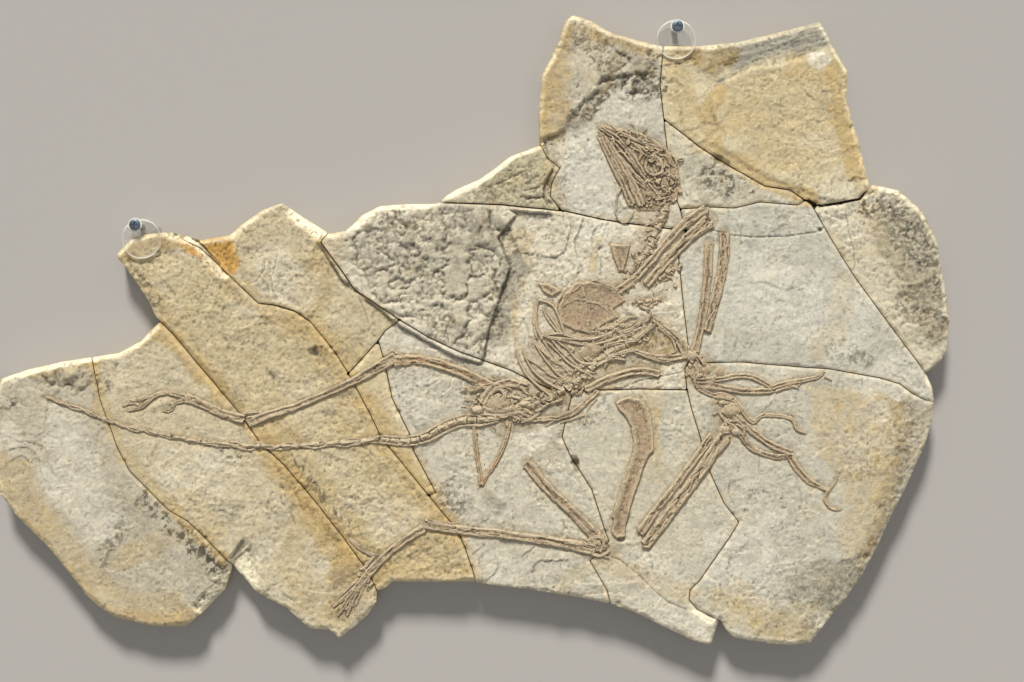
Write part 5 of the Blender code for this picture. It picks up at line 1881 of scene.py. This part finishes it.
@dataclass
class VertebraString:
    """Vertebrae strung along a path: spools with flared ends, a spine ridge and side wings."""

    name: str
    chain: Chain
    relief: StoneRelief
    seed: int
    rings: int = 14
    waist: float = 0.74
    jitter: float = 0.16
    crush: float = 1.5 * MM
    lift: float = 0.2 * MM

    def spool(self, tree: bpy.types.NodeTree) -> bpy.types.NodeSocket:
        """One vertebra of unit size, lying along Z, with its flare and waist.

        Args:
            tree: the tree that it goes into.
        Returns:
            Its geometry.
        """
        line = add_node(tree, "GeometryNodeCurvePrimitiveLine", {"Start": (0, 0, -0.47), "End": (0, 0, 0.47)})
        steps = add_node(tree, "GeometryNodeResampleCurve", {"Curve": line.outputs[0], "Count": self.rings})
        along = add_node(tree, "GeometryNodeSplineParameter").outputs["Factor"]
        flare = add_node(tree, "ShaderNodeFloatCurve", {"Value": along})
        shape = flare.mapping.curves[0].points
        shape[0].location, shape[1].location = (0, 0.55), (1, 0.55)
        for place in ((0.08, 1.0), (0.2, 0.86), (0.5, self.waist), (0.8, 0.86), (0.92, 1.0)):
            shape.new(*place)
        flare.mapping.update()
        sized = add_node(tree, "GeometryNodeSetCurveRadius", {
            "Curve": steps.outputs[0], "Radius": flare.outputs[0]})
        ring = add_node(tree, "GeometryNodeCurvePrimitiveCircle", {"Resolution": 12, "Radius": 0.5})
        body = add_node(tree, "GeometryNodeCurveToMesh", {
            "Curve": sized.outputs[0], "Profile Curve": ring.outputs[0], "Scale": flare.outputs[0],
            "Fill Caps": True})
        ball = add_node(tree, "GeometryNodeMeshUVSphere", {"Segments": 12, "Rings": 8, "Radius": 0.5})
        spine = add_node(tree, "GeometryNodeTransform", {
            "Geometry": ball.outputs["Mesh"], "Translation": (0, 0.22, 0.12), "Scale": (0.34, 0.75, 0.8)})
        wing = add_node(tree, "GeometryNodeTransform", {
            "Geometry": ball.outputs["Mesh"], "Translation": (0, -0.05, 0.28), "Scale": (1.25, 0.5, 0.34)})
        parts = add_node(tree, "GeometryNodeJoinGeometry")
        for part in (body.outputs[0], spine.outputs[0], wing.outputs[0]):
            tree.links.new(part, parts.inputs[0])
        return parts.outputs[0]

    def build(self, material: bpy.types.Material) -> bpy.types.Mesh:
        """Strings the vertebrae.

        Args:
            material: what the piece is made of.
        Returns:
            The plain mesh.
        """
        path = curve_through(plan_all(self.chain.path), 8)
        length = float(np.linalg.norm(np.diff(path, axis=0), axis=1).sum())
        widths, rises = self.chain.widths, self.chain.rises
        swept = NodeSwept(f"{self.name}_{self.seed}", {
            "Count": self.chain.count, "Start Width": widths[0] * MM, "End Width": widths[1] * MM,
            "Start Rise": rises[0] * MM, "End Rise": rises[1] * MM, "Pitch": length / self.chain.count,
            "Crush": self.crush})
        tree, given = swept.tree, swept.given
        middles = add_node(tree, "GeometryNodeTrimCurve", {
            "Curve": given["Geometry"], "Start": 0.5 / self.chain.count, "End": 1 - 0.5 / self.chain.count})
        strung_at = add_node(tree, "GeometryNodeCurveToPoints", {
            "Curve": middles.outputs[0], "Count": given["Count"]}, mode="COUNT")
        index = add_node(tree, "GeometryNodeInputIndex").outputs[0]
        last = add_node(tree, "ShaderNodeMath", {0: given["Count"], 1: 1.0}, operation="SUBTRACT")
        share = add_node(tree, "ShaderNodeMath", {
            0: index, 1: last.outputs[0]}, operation="DIVIDE").outputs[0]
        width, rise = (add_node(tree, "ShaderNodeMapRange", {
            "Value": share, "To Min": given["Start " + size], "To Max": given["End " + size]}).outputs[0]
            for size in ("Width", "Rise"))
        wobble = add_node(tree, "FunctionNodeRandomValue", {
            2: 1 - self.jitter, 3: 1 + self.jitter, "Seed": self.seed}, data_type="FLOAT").outputs[1]
        tall = add_node(tree, "ShaderNodeMath", {0: rise, 1: 2.0}, operation="MULTIPLY").outputs[0]
        size = add_node(tree, "ShaderNodeCombineXYZ", {"X": width, "Y": tall, "Z": given["Pitch"]}).outputs[0]
        scale = add_node(tree, "ShaderNodeVectorMath", {
            0: size, "Scale": wobble}, operation="SCALE").outputs[0]
        turn = add_node(tree, "FunctionNodeAxesToRotation", {
            "Primary Axis": strung_at.outputs["Tangent"], "Secondary Axis": (0, 0, 1)},
            primary_axis="Z", secondary_axis="Y").outputs[0]
        tilt = add_node(tree, "FunctionNodeRandomValue", {
            0: (-0.16, -0.12, -0.25), 1: (0.16, 0.12, 0.25), "Seed": self.seed + 1}, data_type="FLOAT_VECTOR")
        turned = add_node(tree, "FunctionNodeRotateRotation", {
            "Rotation": turn, "Rotate By": tilt.outputs[0]}, rotation_space="LOCAL").outputs[0]
        strung = add_node(tree, "GeometryNodeInstanceOnPoints", {
            "Points": strung_at.outputs["Points"], "Instance": self.spool(tree), "Rotation": turned,
            "Scale": scale})
        real = add_node(tree, "GeometryNodeRealizeInstances", {"Geometry": strung.outputs[0]})
        crushed = self.crushed(tree, real.outputs[0], given["Crush"])
        swept.close(crushed, material)
        return swept.mesh(curve_on_stone(self.name + "_line", [path], self.relief, self.lift))

    @staticmethod
    def crushed(tree: bpy.types.NodeTree, geometry: bpy.types.NodeSocket,
                amount: bpy.types.NodeSocket) -> bpy.types.NodeSocket:
        """Pushes every point about by noise, as bone that was crushed in the rock.

        Args:
            tree: the tree that the nodes go into.
            geometry: what is pushed.
            amount: how far, in metres.
        Returns:
            The pushed geometry.
        """
        noise = add_node(tree, "ShaderNodeTexNoise", {"Scale": 1 / (3.2 * MM), "Detail": 2.0})
        centred = add_node(tree, "ShaderNodeVectorMath", {
            0: noise.outputs["Color"], 1: (0.5, 0.5, 0.5)}, operation="SUBTRACT")
        push = add_node(tree, "ShaderNodeVectorMath", {
            0: centred.outputs[0], "Scale": amount}, operation="SCALE")
        return add_node(tree, "GeometryNodeSetPosition", {
            "Geometry": geometry, "Offset": push.outputs[0]}).outputs[0]


@dataclass
class RibCage:
    """Thin ribs swept along their paths, each a little crushed and tapering to its end."""

    name: str
    ribs: list[Rib]
    relief: StoneRelief
    sides: int = 8
    crush: float = 0.7 * MM
    lift: float = 0.75 * MM

    def build(self, material: bpy.types.Material) -> bpy.types.Mesh:
        """Sweeps the ribs.

        Args:
            material: what the piece is made of.
        Returns:
            The plain mesh.
        """
        start, end = (width * MM / 2 for width in self.ribs[0].widths)
        swept = NodeSwept(self.name + "_ribs", {
            "Start Radius": start, "End Radius": end, "Crush": self.crush})
        tree, given = swept.tree, swept.given
        fine = add_node(tree, "GeometryNodeResampleCurve", {
            "Curve": given["Geometry"], "Length": 1.2 * MM}, mode="LENGTH")
        along = add_node(tree, "GeometryNodeSplineParameter").outputs["Factor"]
        radius = add_node(tree, "ShaderNodeMapRange", {
            "Value": along, "To Min": given["Start Radius"], "To Max": given["End Radius"]}).outputs[0]
        ring = add_node(tree, "GeometryNodeCurvePrimitiveCircle", {"Resolution": self.sides, "Radius": 1.0})
        tube = add_node(tree, "GeometryNodeCurveToMesh", {
            "Curve": fine.outputs[0], "Profile Curve": ring.outputs[0], "Scale": radius, "Fill Caps": True})
        swept.close(VertebraString.crushed(tree, tube.outputs[0], given["Crush"]), material)
        paths = [curve_through(plan_all(rib.path), 6) for rib in self.ribs]
        return swept.mesh(curve_on_stone(self.name + "_rib_lines", paths, self.relief, self.lift))


@dataclass
class Crumbs:
    """Loose grit and small chips left on the stone's rough places."""

    relief: StoneRelief
    count: int = 2600
    smallest: float = 0.5 * MM
    largest: float = 1.4 * MM
    seed: int = 5

    def places(self) -> Array:
        """Finds where the crumbs lie: close along the bones and the raised beds.

        Returns:
            Their places in metres, one row each.
        """
        pick = np.random.default_rng(self.seed)
        spots = []
        for shapes in BONES.values():
            for shape in shapes:
                if isinstance(shape, (Limb, Chain, Rib)):
                    path = curve_through(plan_all(shape.path), 4)
                    chosen = path[pick.integers(0, len(path), 30)]
                    spots.append(chosen + pick.normal(0, 5.5 * MM, chosen.shape))
        for bed in BEDS:
            edge = curve_through(plan_all(bed.edge), 8, ring=True)
            chosen = edge[pick.integers(0, len(edge), 160)]
            spots.append(chosen + pick.normal(0, 2.5 * MM, chosen.shape))
        spots = np.concatenate(spots)
        inside = depth_inside(spots[:, 0], spots[:, 1], self.relief.rim) > 4 * MM
        bare = self.relief.bone_gap(spots[:, 0], spots[:, 1]) > 0.3 * MM
        spots = spots[inside & bare][:self.count]
        level = self.relief.coarse(spots[:, 0], spots[:, 1])
        return np.column_stack([spots, level])

    def build(self, material: bpy.types.Material) -> bpy.types.Mesh:
        """Scatters the chips.

        Args:
            material: what the piece is made of.
        Returns:
            The plain mesh.
        """
        swept = NodeSwept("crumbs", {
            "Smallest": self.smallest, "Largest": self.largest, "Seed": self.seed})
        tree, given = swept.tree, swept.given
        spots = add_node(tree, "GeometryNodeMeshToPoints", {"Mesh": given["Geometry"]})
        chip = add_node(tree, "GeometryNodeMeshIcoSphere", {"Radius": 0.5, "Subdivisions": 1})
        size = add_node(tree, "FunctionNodeRandomValue", {
            2: given["Smallest"], 3: given["Largest"], "Seed": given["Seed"]}, data_type="FLOAT")
        shape = add_node(tree, "FunctionNodeRandomValue", {
            0: (0.7, 0.5, 0.3), 1: (1.3, 1.0, 0.6), "Seed": 2}, data_type="FLOAT_VECTOR")
        scale = add_node(tree, "ShaderNodeVectorMath", {
            0: shape.outputs[0], "Scale": size.outputs[1]}, operation="SCALE")
        spin = add_node(tree, "FunctionNodeRandomValue", {
            0: (-0.5, -0.5, 0.0), 1: (0.5, 0.5, 6.28), "Seed": 3}, data_type="FLOAT_VECTOR")
        turn = add_node(tree, "FunctionNodeEulerToRotation", {0: spin.outputs[0]})
        strewn = add_node(tree, "GeometryNodeInstanceOnPoints", {
            "Points": spots.outputs[0], "Instance": chip.outputs[0], "Scale": scale.outputs[0],
            "Rotation": turn.outputs[0]})
        swept.close(strewn.outputs[0], material)
        mesh = bpy.data.meshes.new("crumb_places")
        mesh.from_pydata(self.places().tolist(), [], [])
        return swept.mesh(link_mesh("crumb_places", mesh))


def join_meshes(name: str, meshes: Sequence[bpy.types.Mesh]) -> bpy.types.Mesh:
    """Makes one mesh out of several.

    Args:
        name: the new mesh's name.
        meshes: the meshes, used up.
    Returns:
        The new mesh.
    """
    bm = bmesh.new()
    for mesh in meshes:
        bm.from_mesh(mesh)
        bpy.data.meshes.remove(mesh)
    made = bpy.data.meshes.new(name)
    bm.to_mesh(made)
    bm.free()
    return made


def loft(name: str, rings: Sequence[Sequence[Sequence[float]]]) -> bpy.types.Object:
    """A closed body through rings of points.

    Args:
        name: the body's name.
        rings: from the foot to the top, each anticlockwise and of equally many points.
    Returns:
        The body at the origin.
    """
    bm = bmesh.new()
    rows = [[bm.verts.new(place) for place in ring] for ring in rings]
    for lower, upper in zip(rows, rows[1:]):
        for k in range(len(lower)):
            after = (k + 1) % len(lower)
            bm.faces.new((lower[k], lower[after], upper[after], upper[k]))
    bm.faces.new(rows[0][::-1])
    bm.faces.new(rows[-1])
    mesh = bpy.data.meshes.new(name)
    bm.to_mesh(mesh)
    bm.free()
    return link_mesh(name, mesh)


def lathe(name: str, profile: Sequence[Point], centre: Point, steps: int) -> bpy.types.Object:
    """A closed turned body.

    Args:
        name: the body's name.
        profile: radii and heights from the foot to the top.
        centre: the sheet point that it is turned about.
        steps: how many sides it has.
    Returns:
        The body at the origin.
    """
    x, y = plan(centre)
    turns = [math.tau * k / steps for k in range(steps)]
    return loft(name, [[(x + radius * math.cos(turn), y + radius * math.sin(turn), height) for turn in turns]
                       for radius, height in profile])


def upright(name: str, outline: Sequence[Point], foot: float, top: float) -> bpy.types.Object:
    """A closed upright body over an anticlockwise outline in metres."""
    return loft(name, [[(x, y, z) for x, y in outline] for z in (foot, top)])


def combined(base: bpy.types.Object, other: bpy.types.Object, operation: str) -> bpy.types.Object:
    """Applies a Boolean of one closed body to another, and removes the other.

    Args:
        base: the body that stays.
        other: the body that is used up.
        operation: the Boolean's kind.
    Returns:
        The body that stays.
    """
    boolean = base.modifiers.new("combine", "BOOLEAN")
    boolean.object, boolean.operation, boolean.solver = other, operation, "EXACT"
    bpy.context.view_layer.update()
    evaluated = base.evaluated_get(bpy.context.evaluated_depsgraph_get())
    base.data = bpy.data.meshes.new_from_object(evaluated)
    base.modifiers.clear()
    bpy.data.objects.remove(other)
    return base


def dressed(piece: bpy.types.Object, material: bpy.types.Material) -> bpy.types.Object:
    """Gives a turned piece its one material, and shades it smooth up to its sharp edges.

    Args:
        piece: the piece.
        material: what the piece is made of.
    Returns:
        The same piece.
    """
    piece.data.materials.clear()
    piece.data.materials.append(material)
    piece.data.shade_smooth()
    piece.data.set_sharp_from_angle(angle=TURNED_SHARP)
    return piece


@dataclass
class ClearHolder:
    """A clear turned disc over the slab's edge, with its spacer, washer and pan-head screw."""

    side: str
    screw: Point
    disc: Point
    spacer_start: float
    foot: float = 22.3 * MM
    radius: float = 15 * MM
    thickness: float = 3 * MM
    spacer_inset: float = 1 * MM
    edge_round: float = 1.45 * MM
    bore: float = 2.3 * MM
    seat_gap: float = 0.3 * MM
    core: float = 1.6 * MM
    thread: float = 2.0 * MM
    pitch: float = 1.4 * MM
    head: float = 4.2 * MM
    head_height: float = 2.4 * MM
    recess: Point = (5.2 * MM, 1.2 * MM)
    disc_steps: int = 96
    screw_steps: int = 48

    @property
    def top(self) -> float:
        """The level of the disc's upper face."""
        return self.foot + self.thickness

    def plate(self, material: bpy.types.Material) -> bpy.types.Object:
        """The disc and its spacer, with the screw's bore.

        Args:
            material: what the piece is made of.
        Returns:
            The finished piece.
        """
        edge, angles = self.edge_round, [math.radians(turn) for turn in (90, 68, 45, 22, 0)]
        rounded = [(self.radius - edge * (1 - math.cos(angle)), math.sin(angle) * edge) for angle in angles]
        profile = [(r, self.foot + edge - z) for r, z in rounded]
        profile += [(r, self.top - edge + z) for r, z in reversed(rounded)]
        plate = lathe("holder_plate_" + self.side, profile, self.disc, self.disc_steps)
        reach, steps = self.radius - self.spacer_inset, self.disc_steps // 2
        (sx, sy), (dx, dy) = plan(self.screw), plan(self.disc)
        middle = math.atan2(sy - dy, sx - dx)
        half = math.acos(self.spacer_start / reach)
        arc = [middle + half * (2 * k / steps - 1) for k in range(steps + 1)]
        outline = [(dx + reach * math.cos(a), dy + reach * math.sin(a)) for a in arc]
        combined(plate, upright("spacer", outline, 0, self.foot + self.thickness / 2), "UNION")
        self.bored(plate, -5 * MM, self.top + 5 * MM)
        return dressed(plate, material)

    def bored(self, piece: bpy.types.Object, foot: float, top: float) -> None:
        """Cuts the screw's bore into a piece, between two levels."""
        bore = lathe("bore", ((self.bore, foot), (self.bore, top)), self.screw, self.screw_steps)
        combined(piece, bore, "DIFFERENCE")

    def washer(self, material: bpy.types.Material) -> bpy.types.Object:
        """A thin ring under the screw's head.

        Args:
            material: what the piece is made of.
        Returns:
            The finished piece.
        """
        rings = ((5.1, 0.02), (5.3, 0.1), (5.2, 0.27))
        profile = [(radius * MM, self.top + lift * MM) for radius, lift in rings]
        ring = lathe("holder_washer_" + self.side, profile, self.screw, 64)
        self.bored(ring, 0, 2 * self.top)
        return dressed(ring, material)

    def fastener(self, material: bpy.types.Material) -> bpy.types.Object:
        """The screw: a threaded shank and a domed head with a cross recess.

        Args:
            material: what the piece is made of.
        Returns:
            The finished piece.
        """
        seat = self.top + self.seat_gap
        profile = [(self.core, 0.3 * MM)]
        for turn in range(int((seat - 1.5 * MM) / self.pitch)):
            z = 0.6 * MM + turn * self.pitch
            profile += [
                (self.core, z), (self.thread, z + 0.4 * self.pitch), (self.core, z + 0.8 * self.pitch)]
        profile += [(self.core, seat), (0.96 * self.head, seat), (self.head, seat + 0.25 * MM),
                    (self.head, seat + 0.35 * self.head_height)]
        for angle in (math.radians(turn) for turn in (20, 35, 50, 65, 80)):
            rise = self.head_height * (0.35 + 0.4 * math.sin(angle))
            profile.append((self.head * math.cos(angle) ** 0.6, seat + rise))
        screw = lathe("holder_screw_" + self.side, profile, self.screw, self.screw_steps)
        x, y = plan(self.screw)
        floor, roof = seat + 0.1 * self.head_height, seat + 2 * self.head_height
        for length, width in (self.recess, self.recess[::-1]):
            corners = [(x + a * length / 2, y + b * width / 2) for a, b in SQUARE]
            combined(screw, upright("recess", corners, floor, roof), "DIFFERENCE")
        return dressed(screw, material)


HOLDERS = (
    ClearHolder("top", (677, 27), (676, 40), -3.2 * MM),
    ClearHolder("left", (136, 225), (142, 239), 5.6 * MM),
)


@dataclass
class Studio:
    """A plain warm grey floor, a soft raking light from the slab's upper side, a fill, and the camera."""

    reach: float = 40.0
    air: float = 0.30
    lens: float = 56.7
    sensor: float = 36.0
    aim: Point = (512, 341)
    eye_height: float = 1.25

    def floor(self) -> None:
        """A large plain floor that the slab lies on."""
        mesh = bpy.data.meshes.new("floor")
        corners = [(a * self.reach, b * self.reach, 0) for a, b in SQUARE]
        mesh.from_pydata(corners, [], [(0, 1, 2, 3)])
        link_mesh("floor", mesh, BACKDROP.material())

    def light(self, name: str, place: Sequence[float], spread: float, power: float, tint: str) -> None:
        """One even soft light that shines towards the slab's middle.

        Args:
            name: the light's name.
            place: where it shines from.
            spread: how wide the light is, in degrees.
            power: its strength.
            tint: its hex colour.
        """
        data = bpy.data.lights.new(name, "SUN")
        data.angle, data.energy, data.color = math.radians(spread), power, linear(tint)
        lamp = bpy.data.objects.new(name, data)
        lamp.location = place
        lamp.rotation_euler = (-Vector(place)).to_track_quat("-Z", "Y").to_euler()
        bpy.context.scene.collection.objects.link(lamp)

    def build(self) -> None:
        """Sets the floor, the lights, the soft surroundings and the camera."""
        self.floor()
        self.light("main", (-0.45, 3.3, 2.05), 11, 4.35, "#FFFCF6")
        self.light("fill", (0.3, -0.6, 2.6), 60, 0.5, "#FFFFFF")
        world = bpy.data.worlds.new("studio_air")
        world.use_nodes = True
        inputs = world.node_tree.nodes["Background"].inputs
        inputs["Color"].default_value = (*linear("#F2F2F0"), 1)
        inputs["Strength"].default_value = self.air
        scene = bpy.context.scene
        scene.world = world
        scene.view_settings.view_transform = "Standard"
        data = bpy.data.cameras.new("camera")
        data.sensor_width, data.lens, data.clip_start = self.sensor, self.lens, 0.01
        camera = bpy.data.objects.new("camera", data)
        camera.location = (*plan(self.aim), self.eye_height)
        scene.collection.objects.link(camera)
        scene.camera = camera


class FossilSlab:
    """The whole fossil: its stone, its bones and its holders."""

    def __init__(self) -> None:
        """Prepares the relief and the finishes."""
        self.relief = StoneRelief()
        self.dresser = BoneDresser(self.relief)
        self.mudstone = MUDSTONE.material()
        self.bone = FOSSIL_BONE.material()

    def settle(self, piece: bpy.types.Object, slot: str, *nodes: str) -> None:
        """Lets a finished piece ride with the slab, and hides the solids it stands for.

        Args:
            piece: the finished piece.
            slot: the material slot that it belongs to; not used.
            nodes: the solids that it replaces.
        """
        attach(piece, "root")
        if nodes:
            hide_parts(*nodes)
        top = vertex_places(piece.data)[:, 2].max() / MM
        LOG.info("%s: %d faces, top at %.2f mm", piece.name, len(piece.data.polygons), top)

    def build_stone(self) -> None:
        """Makes every fragment and the crumbs on them."""
        for node, stone in FRAGMENTS.items():
            piece = StoneFragment(node, stone, self.relief).build(self.mudstone)
            self.settle(piece, stone.slot, node)
        mesh = Crumbs(self.relief).build(self.mudstone)
        press_down(mesh)
        places = vertex_places(mesh)
        tint = np.array([linear(stain.value) for stain in (Tint.OCHRE, Tint.GREY, Tint.BROWN, Tint.GREY)])
        pick = (self.relief.grain.even(places[:, 0], places[:, 1], 4 * MM) * 3.999).astype(int)
        paint(mesh, "stone_tint", tint[pick])
        self.settle(link_mesh("stone_crumbs", mesh, self.mudstone), "tan_mudstone")

    def build_bones(self) -> None:
        """Makes every bone: relief bodies, strings of vertebrae and swept ribs."""
        for name, shapes in BONES.items():
            shapes = (*shapes, *DETAILS.get(name, ()))
            solid = [shape for shape in shapes if isinstance(shape, (Limb, Lump, Plate))]
            ribs = [shape for shape in shapes if isinstance(shape, Rib)]
            chains = [shape for shape in shapes if isinstance(shape, Chain)]
            slot = "rusty_bone" if name in RUSTY_BONES else "fossil_bone"
            if solid:
                piece = BoneRelief(name, solid, self.relief).build(self.bone)
                self.dresser.paint(piece.data, name in RUSTY_BONES)
                self.settle(piece, slot, name)
            swept = [VertebraString(name, chain, self.relief, SEED + len(name) + k).build(self.bone)
                     for k, chain in enumerate(chains)]
            if ribs:
                swept.append(RibCage(name, ribs, self.relief).build(self.bone))
            if swept:
                mesh = join_meshes(name + "_swept", swept)
                self.dresser.paint(mesh, name in RUSTY_BONES)
                mesh.shade_smooth()
                self.settle(link_mesh(f"bone_{name}_swept", mesh, self.bone), slot, name)

    def build_holders(self) -> None:
        """Makes the clear holders, their washers and their screws."""
        acrylic, steel, nylon = (finish.material() for finish in (AcrylicFinish(), PLATED_STEEL, NYLON))
        for holder in HOLDERS:
            self.settle(holder.plate(acrylic), "clear_acrylic", "holder_" + holder.side)
            self.settle(holder.washer(nylon), "zinc_steel")
            self.settle(holder.fastener(steel), "zinc_steel", "screw_" + holder.side)


def main() -> None:
    """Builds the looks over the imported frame."""
    logging.basicConfig(level=logging.INFO, format="%(name)s: %(message)s")
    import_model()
    Studio().build()
    slab = FossilSlab()
    slab.build_stone()
    slab.build_bones()
    slab.build_holders()


if __name__ == "__main__":
    main()
